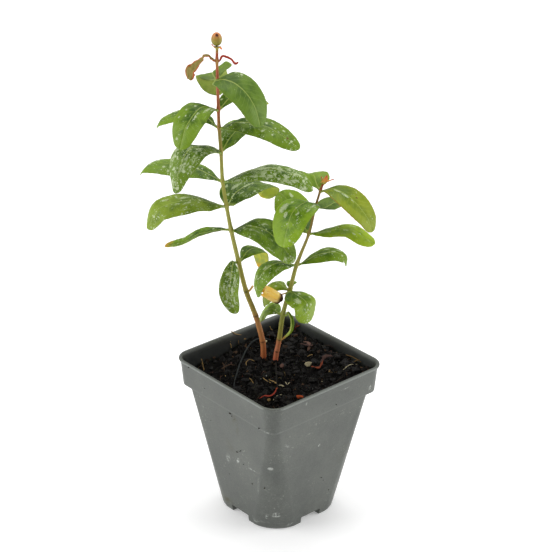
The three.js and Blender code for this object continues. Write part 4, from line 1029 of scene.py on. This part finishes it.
def build_pot():
    """The tapered pot with its folded band and rolled rim, and its foot cut by two channels."""
    rows = [(BODY_FOOT_HALF - inset, BODY_FOOT_CORNER - inset, z, BODY_CORNER_FLAT)
            for inset, z in FOOT_ROUNDING]
    for i in range(BODY_LEVELS + 1):
        z = FOOT_ROUND_TOP + (BAND_FOOT - FOOT_ROUND_TOP) * i / BODY_LEVELS
        rows.append((*body_at(z), z, BODY_CORNER_FLAT))
    rows += [(BAND_FOOT_HALF - inset, corner, BAND_FOOT + z) for inset, corner, z in BAND_ROUNDING]
    low = BAND_FOOT + BAND_ROUND_TOP
    for i in range(BAND_LEVELS + 1):
        share = i / BAND_LEVELS
        rows.append((*band_at(share), low + (LIP_FOOT - LIP_HOLLOW - low) * share))
    # The rim is folded over: a short underside, a round outer edge, a level top and a round inner edge
    rows.append((BAND_TOP_HALF + 0.5, 9.8, LIP_FOOT - 0.25))
    for i in range(RIM_STEPS + 1):
        angle = math.radians(-90 + 180 * i / RIM_STEPS)
        out = RIM_ROUND * math.cos(angle)
        rows.append((RIM_HALF - RIM_ROUND + out, RIM_CORNER - RIM_ROUND + out,
                     POT_HEIGHT - LIP_HEIGHT / 2 * (1 - math.sin(angle))))
    inner_half = RIM_HALF - LIP_WIDTH
    inner_corner = RIM_CORNER - LIP_WIDTH
    inner_top = POT_HEIGHT - 0.45
    rows.append((inner_half + 0.35, inner_corner + 0.35, POT_HEIGHT - 0.05))
    rows.append((inner_half, inner_corner, inner_top))
    ledge = BAND_FOOT + LEDGE
    for i in range(1, INNER_LEVELS + 1):
        share = i / INNER_LEVELS
        rows.append((between(inner_half, BAND_FOOT_HALF - POT_WALL, share),
                     between(inner_corner, BODY_TOP_CORNER, share), between(inner_top, ledge + 0.6, share)))
    rows.append((BODY_TOP_HALF - POT_WALL, BODY_TOP_CORNER - POT_WALL, ledge))
    for z in (BAND_FOOT, 60, 45, 30, 15, FLOOR_TOP):
        half, corner = body_at(z)
        rows.append((half - POT_WALL, corner - POT_WALL, z, BODY_CORNER_FLAT))
    rings = [rounded_square(*row) for row in rows]
    vertices = [point for ring in rings for point in ring]
    pot = put_in_scene("pot_shell", vertices, loft_faces(len(rings), len(rings[0])))

    # The channels and the round pad under the middle
    channel = BODY_FOOT_HALF * 4
    cutters = [(box_mesh("channel_a", channel, NOTCH_WIDTH, FOOT_HEIGHT * 2), "DIFFERENCE"),
               (box_mesh("channel_b", NOTCH_WIDTH, channel, FOOT_HEIGHT * 2), "DIFFERENCE"),
               (disc_mesh("foot_pad", CENTRE_PAD_RADIUS, FOOT_HEIGHT + 0.5), "UNION")]
    for tool, operation in cutters:
        cut = pot.modifiers.new(operation, "BOOLEAN")
        cut.solver = "EXACT"
        cut.operation = operation
        cut.object = tool
    depsgraph = bpy.context.evaluated_depsgraph_get()
    mesh = bpy.data.meshes.new_from_object(pot.evaluated_get(depsgraph))
    pot.modifiers.clear()
    pot.data = mesh
    for tool, _ in cutters:
        bpy.data.objects.remove(tool)

    places = np.empty(len(mesh.vertices) * 3)
    mesh.vertices.foreach_get("co", places)
    places = places.reshape(-1, 3) / MM
    z = places[:, 2]
    outside = np.maximum(np.abs(places[:, 0]), np.abs(places[:, 1]))
    # A painted highlight along the rim and the band's crease, and paler towards the foot
    rim = np.exp(-((outside - RIM_HALF) / 0.5) ** 2) * (z > LIP_FOOT - 0.2)
    crease = np.exp(-((z - BAND_FOOT - 0.35) / 0.4) ** 2) * (outside > BAND_FOOT_HALF - 2)
    foot = 0.35 * np.exp(-(z / 1.2) ** 2)
    set_attributes(mesh, {"scuff_and_highlight": pot_marks(places, POT_SCUFFS_AND_HIGHLIGHTS), "stain": pot_marks(places, POT_STAINS),
                          "highlight_and_pale_foot": np.clip(0.8 * rim + 0.35 * crease + foot, 0, 1),
                          "inside": painted_inner_wall_shade(places)})
    mesh.shade_smooth()
    mesh.set_sharp_from_angle(angle=math.radians(38))
    keep(pot, pot_material(), ["pot"])


def painted_inner_wall_shade(places):
    """1 on the inner wall, where shade is painted, and 0 on the outside, for places in mm."""
    share = np.zeros(len(places))
    for i, (x, y, z) in enumerate(places):
        half, corner = outside_at(z)
        reach = half - corner
        over = math.hypot(max(abs(x) - reach, 0), max(abs(y) - reach, 0))
        depth = corner - over if over > 0 else half - max(abs(x), abs(y))
        share[i] = smooth(0.9, 1.2, depth) * smooth(SOIL_TOP - 12, SOIL_TOP - 8, z)
        share[i] *= smooth(0.1, 1.1, POT_HEIGHT - z)
    return share


def box_mesh(name, x, y, z):
    corners = [Vector((sx * x / 2, sy * y / 2, sz * z / 2)) * MM
               for sz in (-1, 1) for sx, sy in ((-1, -1), (1, -1), (1, 1), (-1, 1))]
    return put_in_scene(name, corners, loft_faces(2, 4))


def disc_mesh(name, radius, height, sides=64):
    rings = [Vector((radius * math.cos(angle), radius * math.sin(angle), z)) * MM
             for z in (0, height) for angle in circle(sides)]
    return put_in_scene(name, rings, loft_faces(2, sides))


def soil_height(x, y):
    """The soil's broad shape at a place in the pot's frame, in mm: it lies higher at the back and right."""
    feet = [turned(*stem[0][0]) / MM for stem in (TALL_STEM, SHORT_STEM)]
    nearest = min(math.hypot(x - foot.x, y - foot.y) for foot in feet)
    calm = smooth(SOIL_CALM_RADIUS, SOIL_CALM_RADIUS * 2.5, nearest)
    wave = math.sin(x * 0.21 + 1.3) * math.cos(y * 0.17 + 0.4) + 0.5 * math.sin(x * 0.37 - y * 0.31)
    right = SOIL_RISE * smooth(16, 40, x)
    back = 0.8 * SOIL_RISE * smooth(28, 41, y) * smooth(-35, 15, x)
    return SOIL_TOP + SOIL_RELIEF * wave * calm + max(right, back)


def peat_height(x, y):
    """The soil's surface with its lumps and crumbs, in mm."""
    lumps = noise.noise(Vector((x * 0.13, y * 0.13, 4.2))) * 2
    lumps += abs(noise.noise(Vector((x * 0.31, y * 0.31, 9.1)))) * 3 - 0.9
    lumps += abs(noise.noise(Vector((x * 0.7, y * 0.7, 2.7)))) * 2.4 - 0.6
    lumps += noise.noise(Vector((x * 1.6, y * 1.6, 6.3))) * 0.5
    return soil_height(x, y) + lumps


def peat_material():
    """Nearly black peat with brown crumbs and matt fibres."""
    paint = Paint("peat", roughness=0.95, specular=0.15)
    place = paint.place()
    crumbs = paint.noise(place, 620.0, 4.0, 0.7)
    strands = paint.noise(paint.stretch(place, (500, 140, 300)), 2.2, 3.0, 0.7)
    paint.base = paint.mix(paint.step(crumbs, 0.42, 0.72), (4, 3, 2), (16, 13, 10))
    paint.lay(paint.step(strands, 0.6, 0.74, 0.0, 0.6), (38, 28, 20))
    return paint.finish(paint.step(crumbs, 0.3, 0.7, 0.8, 1.0), crumbs + strands * 0.5, 0.0006, 0.9)


def build_soil():
    """The filled inside of the pot, with a lumpy top."""
    inset = POT_WALL + GAP
    rings = []
    for z in (FLOOR_TOP + GAP, 30, 60, BAND_FOOT):
        half, corner = body_at(z)
        rings.append(rounded_square(half - inset, corner - inset, z, BODY_CORNER_FLAT))
    rings.append(rounded_square(BAND_FOOT_HALF - inset - 0.2, 4.7, BAND_FOOT + LEDGE + 1.3))
    edge = rounded_square(SOIL_TOP_HALF, SOIL_TOP_CORNER, SOIL_TOP)
    levels = 76
    for level in range(levels):
        share = 1 - level / levels * 0.985
        ring = []
        for point in edge:
            x = point.x / MM * share
            y = point.y / MM * share
            z = peat_height(x, y) - 0.8 * smooth(0.94, 1, share)
            # The edge follows the sloping wall where the soil lies high
            spread = 1 + (z - SOIL_TOP) * WALL_SLOPE / SOIL_TOP_HALF * smooth(0.9, 1, share)
            ring.append(Vector((x * spread, y * spread, z)) * MM)
        rings.append(ring)
    vertices = [point for ring in rings for point in ring]
    piece = put_in_scene("soil_peat", vertices, loft_faces(len(rings), len(edge)))
    keep(piece, peat_material(), ["soil"])


class Heap:
    """Gathers many small closed shapes of one colour into one mesh."""

    def __init__(self, name, colours):
        self.name = name
        self.colours = colours
        self.vertices = []
        self.faces = []
        self.shade = []

    def add(self, vertices, faces, shade):
        first = len(self.vertices)
        self.vertices += vertices
        self.faces += [tuple(first + i for i in face) for face in faces]
        self.shade += [shade] * len(vertices)

    def build(self, slot="soil"):
        paint = Paint(self.name + "_skin", roughness=0.85, specular=0.25)
        rough = paint.noise(paint.place(), 900.0, 3.0, 0.7)
        [shade] = paint.attributes("shade")
        paint.base = paint.mix(paint.step(shade * 0.7 + rough * 0.5, 0.2, 0.95), *self.colours)
        dull = 0.5 if self.name == "litter_black" else 0.7
        material = paint.finish(paint.step(rough, 0.3, 0.7, dull, 0.95), rough, 0.0001, 0.7)
        keep(put_in_scene(self.name, self.vertices, self.faces, {"shade": self.shade}), material)


def tube_shape(points, radii, sides=6, flat=1.0):
    """Vertices and faces of a tube through places in metres; flat squeezes it to a strip."""
    vertices = []
    side = Vector((0, 0, 1)).cross(points[1] - points[0])
    if side.length < 1e-9:
        side = Vector((1, 0, 0))
    for i, point in enumerate(points):
        ahead = (points[min(i + 1, len(points) - 1)] - points[max(i - 1, 0)]).normalized()
        side = (side - ahead * side.dot(ahead)).normalized()
        other = ahead.cross(side)
        for angle in circle(sides):
            offset = side * (radii[i] * math.cos(angle))
            vertices.append(point + offset + other * (radii[i] * flat * math.sin(angle)))
    return vertices, loft_faces(len(points), sides)


def flake_shape(centre, length, width, heading, lean, dice):
    """A thin uneven flake, leaning towards the front."""
    turn = Matrix.Rotation(PLANT_TURN, 4, "Z") @ Matrix.Rotation(math.radians(lean), 4, "X")
    turn = turn @ Matrix.Rotation(math.radians(heading), 4, "Z")
    vertices = []
    count = 9
    outline = [0.8 + 0.3 * dice.random() for _ in range(count)]
    dish = ((0.5, -0.12), (1, 0.02), (0.96, 0.16), (0.5, 0.04))
    for share, level in dish:
        for out, angle in zip(outline, circle(count)):
            reach = out * share
            x = math.cos(angle) * reach * length / 2
            y = math.sin(angle) * reach * width / 2
            z = level * length * 0.7 + share * (0.1 * length * math.cos(angle * 2) + 0.1 * dice.random())
            vertices.append(centre + turn.to_3x3() @ Vector((x, y, z)) * MM)
    return vertices, loft_faces(len(dish), count)


def lump_template():
    form = bmesh.new()
    bmesh.ops.create_icosphere(form, subdivisions=2, radius=1)
    vertices = [vertex.co.copy() for vertex in form.verts]
    faces = [tuple(vertex.index for vertex in face.verts) for face in form.faces]
    form.free()
    return vertices, faces


def lump_shape(template, centre, radius, dice):
    """An uneven round lump."""
    vertices, faces = template
    seed = dice.random() * 90
    stretch = Vector((0.6 + 0.9 * dice.random(), 0.6 + 0.9 * dice.random(), 0.35 + 0.4 * dice.random()))
    placed = []
    for corner in vertices:
        swell = 0.9 + 0.9 * noise.noise(corner * 1.4 + Vector((seed, 0, seed)))
        swell += 0.5 * noise.noise(corner * 3.1 + Vector((0, seed, 0)))
        placed.append(centre + Vector([c * s for c, s in zip(corner * swell * radius, stretch)]) * MM)
    return placed, faces


def on_soil(x, y, lift):
    """A place above the soil, from the plant's frame in mm to the pot's frame in metres."""
    flat = turned(x, y, 0)
    z = soil_height(flat.x / MM, flat.y / MM) + lift
    return Vector((flat.x, flat.y, z * MM))


def on_peat(x, y, lift):
    """A place above the lumpy peat, from the pot's frame in mm to metres."""
    return Vector((x, y, peat_height(x, y) + lift)) * MM


def random_soil_place(dice, margin=1.5):
    """An even random place on the soil's top, in the pot's frame, in mm."""
    reach = SOIL_TOP_HALF - margin
    return dice.uniform(-reach, reach), dice.uniform(-reach, reach)


def soil_line_shape(kind, size, path):
    """A stick or a flat strip that follows a line on the soil."""
    line = Line([on_soil(*point) / MM for point in path], steps=60)
    stick = kind == "stick"
    count = 14 if stick else 18
    points = []
    radii = []
    for i in range(count + 1):
        share = i / count
        wobble = Vector((noise.noise(Vector((share * 5, size * 9, path[0][0]))),
                         noise.noise(Vector((share * 5, path[0][1], 3.0))), 0)) * 0.25
        points.append((line.at(share) + wobble) * MM)
        if stick:
            radius = size * (0.7 + 0.3 * math.sin(math.pi * min(share + 0.15, 1))) * MM
        else:
            belly = math.sin(math.pi * min(max(share, 0.06), 0.94))
            radius = size / 2 * (0.35 + 0.65 * belly + 0.18 * math.sin(share * 17)) * MM
        radii.append(radius * (0.85 + 0.5 * noise.noise(Vector((share * 11, path[0][0], size * 5)))))
    return tube_shape(points, radii, 7, 1.0 if stick else 0.3)


def husk_shape(foot, radius, angle, dice):
    """A dark husk that leans against the foot of a stem."""
    turn = angle + dice.uniform(-0.2, 0.2)
    out = Vector((math.cos(turn), math.sin(turn), 0))
    top = foot + out * (radius + 0.15) + Vector((0, 0, dice.uniform(0.6, 1.7)))
    base = foot + out * (radius + 1.05) - Vector((0, 0, 1.8))
    line = [turned(*base.lerp(top, s)) for s in (0, 0.35, 0.7, 1)]
    return tube_shape(line, [0.9 * MM, 0.8 * MM, 0.6 * MM, 0.2 * MM], 7, 0.5)


def strand_shape(thick, longest, dice):
    """A fibre that arches over the peat at a random place."""
    x, y = random_soil_place(dice)
    heading = dice.uniform(0, 2 * math.pi)
    length = longest * (0.3 + 0.7 * dice.random())
    bend = dice.uniform(-1.2, 1.2)
    lift = dice.uniform(0.1, 1.1)
    limit = SOIL_TOP_HALF - 0.6
    points = []
    radii = []
    steps = 7
    for i in range(steps + 1):
        share = i / steps
        px = x + math.cos(heading + bend * share) * length * (share - 0.5)
        py = y + math.sin(heading + bend * share) * length * (share - 0.5)
        px = min(max(px, -limit), limit)
        py = min(max(py, -limit), limit)
        points.append(on_peat(px, py, lift * math.sin(math.pi * share)))
        radii.append(thick * (1 - 0.5 * abs(2 * i / steps - 1)) * MM)
    return tube_shape(points, radii, 4)


def build_litter():
    """Chips, fibres and crumbs on the peat, first those that stand out and then a seeded scatter."""
    dice = random.Random(LITTER_SEED)
    template = lump_template()
    heaps = {name: Heap("litter_" + name, colours) for name, colours in LITTER_COLOURS.items()}
    for kind, colour, size, path in SOIL_LINES:
        heaps[colour].add(*soil_line_shape(kind, size, path), dice.random())
    for colour, x, y, lift, *form in SOIL_FLAKES:
        heaps[colour].add(*flake_shape(on_soil(x, y, lift), *form, dice), dice.random())
    for colour, x, y, lift, radius in SOIL_LUMPS:
        heaps[colour].add(*lump_shape(template, on_soil(x, y, lift), radius, dice), dice.random())
    for stem, count in ((TALL_STEM, TALL_HUSKS), (SHORT_STEM, SHORT_HUSKS)):
        foot, radius = stem[0]
        for angle in circle(count):
            heaps["black"].add(*husk_shape(Vector(foot), radius, angle, dice), dice.random())
    for colour, count, small, large in LUMP_SCATTER:
        for _ in range(count):
            x, y = random_soil_place(dice)
            radius = small + (large - small) * dice.random() ** 2
            shape = lump_shape(template, on_peat(x, y, radius * 0.1), radius, dice)
            heaps[colour].add(*shape, dice.random())
    for colour, count, thick, longest in STRAND_SCATTER:
        for _ in range(count):
            heaps[colour].add(*strand_shape(thick, longest, dice), dice.random())
    for colour, count, largest in FLAKE_SCATTER:
        for _ in range(count):
            x, y = random_soil_place(dice, 2)
            length = largest * (0.4 + 0.6 * dice.random())
            shape = flake_shape(on_peat(x, y, 0.3), length, length * dice.uniform(0.35, 0.8),
                                dice.uniform(0, 180), dice.uniform(-30, 55), dice)
            heaps[colour].add(*shape, dice.random())
    for heap in heaps.values():
        heap.build()


def build_pot_crumbs():
    """Crumbs of peat stuck to the outside of the pot."""
    dice = random.Random(CRUMB_SEED)
    template = lump_template()
    heap = Heap("pot_crumbs", CRUMB_COLOURS)
    for face, across, z, size in POT_CRUMBS:
        place, out, _ = pot_place(face, across, z)
        heap.add(*lump_shape(template, (place + out * 0.05) * MM, size * 0.75, dice), dice.random())
    for _ in range(BACK_CRUMBS):
        across = dice.uniform(-26, 26)
        z = dice.uniform(6, 92)
        place, _, _ = pot_place(dice.choice(("left", "right")), across, z)
        place.xy = -place.xy
        heap.add(*lump_shape(template, place * MM, dice.uniform(0.2, 0.5), dice), dice.random())
    heap.build("pot")


def dry_material(name, middle, margin, streak, spread=0.0):
    """A withered leaf: its middle tone, a warmer margin and dark lengthwise streaks."""
    paint = Paint(name, roughness=0.6, specular=0.35)
    along, across, edge = paint.attributes("along", "across", "edge")
    flat = paint.join(along * 0.5, across * 2.2, 3.0)
    streaks = paint.noise(flat, 1.1, 3.0, 0.65)
    warm = edge * 0.8 + paint.noise(flat, 0.35, 2.0, 0.5) * 0.6
    paint.base = paint.mix(paint.step(warm, 0.55 + spread, 1.1 + spread / 2), middle, margin)
    paint.lay(paint.step(streaks, 0.55, 0.75, 0.0, 0.6), streak)
    return paint.finish(paint.step(streaks, 0.3, 0.7, 0.5, 0.75), streaks, 0.0002, 0.7)


def sepal_material():
    """Dry sepals: yellow-green at their foot, orange along the blade and red-brown at the point."""
    paint = Paint("sepal_skin", roughness=0.55, specular=0.3)
    along, across, reach = paint.attributes("along", "across", "reach")
    grain = paint.noise(paint.join(along, across), 1.6, 3.0, 0.6)
    paint.base = paint.ramp(reach + (grain - 0.5) * 0.4, SEPAL_COLOURS)
    return paint.finish(paint.step(grain, 0.3, 0.7, 0.45, 0.65), grain, 0.0001, 0.6)


def build_dry_pieces():
    """Withered leaves under the fruit, a leaf stub, the fruit's sepals and what is left of a bud."""
    olive = dry_material("withered_skin", (130, 116, 48), (188, 74, 34), (98, 60, 24), spread=0.14)
    red = dry_material("curl_skin", (168, 56, 22), (160, 46, 20), (112, 30, 12))
    orange = sepal_material()
    stub = dry_material("stub_skin", (230, 176, 104), (238, 190, 120), (206, 140, 72))
    looks = {"withered_leaf_left": (olive, 1.1, 0.5), "withered_leaf_right": (red, 0.3, 1.15),
             "leaf_stub": (stub, 0.1, 1.2)}
    for row in DRY_STRIPS:
        material, crumple, thickness = looks[row["name"]]
        build_blade(row, *TALL_STEM[row["joint"]], STRIP, material, "dry_leaf", stations=44, columns=17,
                    thickness=thickness, crumple=crumple, vein=False)
    for rows, fullness, crumple in ((SEPALS, 1, 0.15), (BUD_REMAINS, BUD_FULLNESS, 0.2)):
        for row in rows:
            wider = {**row, "clear": SEPAL_CLEAR, "width": row["width"] * fullness}
            build_blade(wider, row["top"], STEM_TOP_RADIUS, SEPAL, orange, "dry_leaf", stations=24,
                        columns=11, thickness=0.5, crumple=crumple, vein=False)


def build_bud():
    """The pale shrivelled bud among the remains, with a red-brown streak."""
    base = Vector(BUD_TOP) + Vector(BUD_BASE)
    tip = Vector(BUD_TOP) + Vector(BUD_TIP)
    axis = (tip - base).normalized()
    side = axis.cross(Vector((0, 1, 0))).normalized()
    other = axis.cross(side)
    rings = 16
    sides = 18
    vertices = []
    streak = []
    for i in range(rings + 1):
        share = i / rings
        radius = BUD_RADIUS * math.sin(math.pi * min(max(share, 0.03), 0.985)) ** 0.7 * (1 - 0.45 * share)
        for angle in circle(sides):
            pleat = 1 + 0.12 * math.cos(4 * angle + 2 * share)
            out = side * math.cos(angle) + other * math.sin(angle)
            vertices.append(turned(*(base.lerp(tip, share) + out * radius * pleat)))
            stripe = math.exp(-((angle - 4.6) / 0.5) ** 2) * smooth(0.9, 0.3, share)
            streak.append(stripe + 0.7 * smooth(0.25, 0, share))
    paint = Paint("bud_skin", roughness=0.55, specular=0.4)
    fine = paint.noise(paint.place(), 1400.0, 2.0, 0.6)
    paint.base = paint.mix(paint.step(fine, 0.3, 0.7), (222, 196, 126), (240, 222, 160))
    paint.lay(*paint.attributes("streak"), (176, 168, 62))
    piece = put_in_scene("bud_shrivelled", vertices, loft_faces(rings + 1, sides), {"streak": streak})
    keep(piece, paint.finish(None, fine, 0.0001, 0.5))


def build_fruit():
    """The green-tan capsule with five faint grooves and a dark scar where the style stood."""
    rings = 44
    sides = 48
    centre = Vector(FRUIT_CENTRE)
    scar_way = Vector(FRUIT_SCAR_WAY).normalized()
    vertices = []
    marks = {"high": [], "scar": [], "groove": []}
    for i in range(rings + 1):
        height = -math.cos(math.pi * (i + 0.4) / (rings + 0.8))
        for angle in circle(sides):
            out = Vector((math.cos(angle), math.sin(angle), 0))
            width = math.sqrt(max(1 - height * height, 0)) * (1 - 0.06 * height)
            dent = (0.5 + 0.5 * math.cos(5 * angle)) ** 6
            near = (out * width + Vector((0, 0, height))).normalized().dot(scar_way)
            reach = 1 - 0.025 * dent * (1 - height * height) - 0.16 * smooth(0.965, 0.995, near)
            place = out * width * FRUIT_RADIUS + Vector((0, 0, height * FRUIT_HALF_HEIGHT))
            vertices.append(turned(*(centre + place * reach)))
            marks["high"].append(height * 0.5 + 0.5)
            marks["scar"].append(smooth(0.93, 0.985, near))
            marks["groove"].append(dent)
    paint = Paint("fruit_skin", roughness=0.45, specular=0.25)
    high, scar, groove = paint.attributes("high", "scar", "groove")
    mottle = paint.noise(paint.place(), 420.0, 3.0, 0.6)
    fine = paint.noise(paint.place(), 1800.0, 2.0, 0.6)
    paint.base = paint.ramp(high + (mottle - 0.5) * 0.35, FRUIT_COLOURS)
    paint.lay(groove, (112, 90, 44), 0.35)
    paint.lay(paint.step(fine, 0.58, 0.72, 0.0, 0.3), (110, 78, 44))
    paint.lay(scar, (92, 46, 36))
    piece = put_in_scene("fruit_capsule", vertices, loft_faces(rings + 1, sides), marks)
    keep(piece, paint.finish(paint.step(mottle, 0.3, 0.7, 0.36, 0.5), fine, 0.00008, 0.5), ["fruit"])


def build_rolled_leaf():
    """The dead leaf: a dry tan sheet rolled round its own length, burnt dark at one end."""
    joint = Vector(SHORT_STEM[ROLL_JOINT][0])
    near = joint + Vector(ROLL_NEAR)
    far = joint + Vector(ROLL_FAR)
    axis = (far - near).normalized()
    length = (far - near).length
    up = (Vector((0, 0, 1)) - axis * axis.z).normalized()
    side = axis.cross(up)
    stations = 40
    columns = 56
    vertices = []
    marks = {"along": [], "around": [], "burnt": []}
    for i in range(stations + 1):
        share = i / stations
        outer = []
        inner = []
        ring = {"along": [], "around": [], "burnt": []}
        for k in range(columns):
            turn = k / (columns - 1)
            angle = math.radians(ROLL_START + ROLL_TURN * turn)
            ragged = noise.noise(Vector((turn * 9, 1.5, 7.7)))
            reach = share * length
            reach += (0.9 * ragged + 0.7 * math.sin(turn * 11)) * (1 - share) ** 2
            reach += (0.6 * noise.noise(Vector((turn * 7, 8.5, 2.2))) - 0.4 * math.sin(turn * 5)) * share ** 2
            radius = ROLL_RADIUS * (1 + 0.08 * math.sin(share * 3)) * (0.86 + 0.16 * turn)
            radius += 0.16 * noise.noise(Vector((share * 5, turn * 6, 3.3)))
            radius += 0.1 * math.cos(angle * 9 + share)
            out = up * math.cos(angle) * 0.92 + side * math.sin(angle)
            outer.append(near + axis * reach + out * radius)
            inner.append(near + axis * reach + out * (radius - ROLL_THICKNESS))
            ring["along"].append(reach)
            ring["around"].append(turn * 18)
            ring["burnt"].append(smooth(0.3, 0.12, share + 0.16 * ragged))
        vertices += [turned(*point) for point in outer + inner[::-1]]
        marks["along"] += ring["along"] * 2
        for key in ("around", "burnt"):
            marks[key] += ring[key] + ring[key][::-1]
    paint = Paint("dead_leaf_skin", roughness=0.6, specular=0.2)
    along, around, burnt = paint.attributes("along", "around", "burnt")
    flat = paint.join(along * 0.3, around)
    streaks = paint.noise(flat, 0.9, 3.0, 0.6)
    cloud = paint.noise(flat, 0.28, 2.0, 0.5)
    paint.base = paint.mix(paint.step(cloud, 0.35, 0.65), (252, 204, 84), (255, 226, 150))
    paint.lay(paint.step(streaks, 0.52, 0.72, 0.0, 0.8), (232, 146, 44))
    paint.lay(paint.step(streaks, 0.36, 0.24, 0.0, 0.4), (206, 146, 72))
    paint.lay(burnt, (62, 34, 22))
    material = paint.finish(paint.step(streaks, 0.3, 0.7, 0.5, 0.7), streaks, 0.0003, 0.7)
    piece = put_in_scene("dead_yellow_leaf_roll", vertices, loft_faces(stations + 1, 2 * columns), marks)
    keep(piece, material, ["dead_yellow_leaf"])

    # Its dry stalk, from the stem to the rolled sheet
    start = joint + Vector((-0.5, -0.8, -0.4))
    end = near + up * (ROLL_RADIUS * 0.8) + axis * 1.2
    line = Line([start, joint + Vector((-2.6, -2.6, -1)), end], steps=60)
    points = [turned(*line.at(i / 10)) for i in range(11)]
    stalk = put_in_scene("dead_yellow_leaf_stalk", *tube_shape(points, [ROLL_STALK_RADIUS * MM] * 11, 10))
    skin = Paint("dead_stalk_skin", roughness=0.6, specular=0.3)
    rough = skin.noise(skin.place(), 900.0, 2.0, 0.6)
    skin.base = skin.mix(rough, (176, 130, 66), (214, 170, 98))
    keep(stalk, skin.finish(skin.step(rough, 0.3, 0.7, 0.5, 0.7)))


def camera():
    """The photograph's view: the pot's front corner faces the camera, from well above."""
    data = bpy.data.cameras.new("camera")
    data.sensor_width = 36
    data.lens = 36 * CAMERA_FOCAL_PIXELS / IMAGE_SIDE
    data.clip_end = 20
    eye = bpy.data.objects.new("camera", data)
    bpy.context.scene.collection.objects.link(eye)
    elevation = math.radians(CAMERA_ELEVATION)
    back = turned(0, -math.cos(elevation) / MM, math.sin(elevation) / MM)
    eye.location = turned(*CAMERA_TARGET) + back * CAMERA_DISTANCE * MM
    aim = (-back).to_track_quat("-Z", "Y").to_matrix().to_4x4()
    eye.rotation_euler = (aim @ Matrix.Rotation(math.radians(CAMERA_ROLL), 4, "Z")).to_euler()
    bpy.context.scene.camera = eye


def studio():
    """A pale floor, a pale surround and large soft lights."""
    world = bpy.data.worlds.new("studio")
    world.use_nodes = True
    world.node_tree.nodes["Background"].inputs["Color"].default_value = (1, 1, 1, 1)
    world.node_tree.nodes["Background"].inputs["Strength"].default_value = SURROUND_STRENGTH
    bpy.context.scene.world = world
    bpy.context.scene.view_settings.view_transform = "Standard"
    for name, place, size, power in LIGHTS:
        data = bpy.data.lights.new(name, "AREA")
        data.shape = "SQUARE"
        data.size = size
        data.energy = power
        lamp = bpy.data.objects.new(name, data)
        bpy.context.scene.collection.objects.link(lamp)
        lamp.location = turned(*place)
        aim = Vector((0, 0, LIGHT_AIM)) - turned(*place)
        lamp.rotation_euler = aim.to_track_quat("-Z", "Y").to_euler()

    side = FLOOR_HALF
    floor = put_in_scene("floor", [(-side, -side, 0), (side, -side, 0), (side, side, 0), (-side, side, 0)],
                         [(0, 1, 2, 3)])
    floor.location.z = -FLOOR_GAP
    paint = Paint("floor_paper", roughness=0.9, specular=0.2)
    paint.shader.inputs["Emission Color"].default_value = (1, 1, 1, 1)
    paint.shader.inputs["Emission Strength"].default_value = FLOOR_GLOW
    paint.base = (0.92, 0.92, 0.92, 1)
    floor.data.materials.append(paint.finish())


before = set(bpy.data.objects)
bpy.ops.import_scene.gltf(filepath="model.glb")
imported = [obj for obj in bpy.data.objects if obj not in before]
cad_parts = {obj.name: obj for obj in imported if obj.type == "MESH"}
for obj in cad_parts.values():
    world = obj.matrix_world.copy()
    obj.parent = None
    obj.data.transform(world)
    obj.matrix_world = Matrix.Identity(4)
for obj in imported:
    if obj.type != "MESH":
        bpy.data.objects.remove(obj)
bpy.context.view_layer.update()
camera()
studio()
build_leaves()
build_stems()
build_dry_pieces()
build_bud()
build_fruit()
build_rolled_leaf()
build_pot()
build_soil()
build_litter()
build_pot_crumbs()
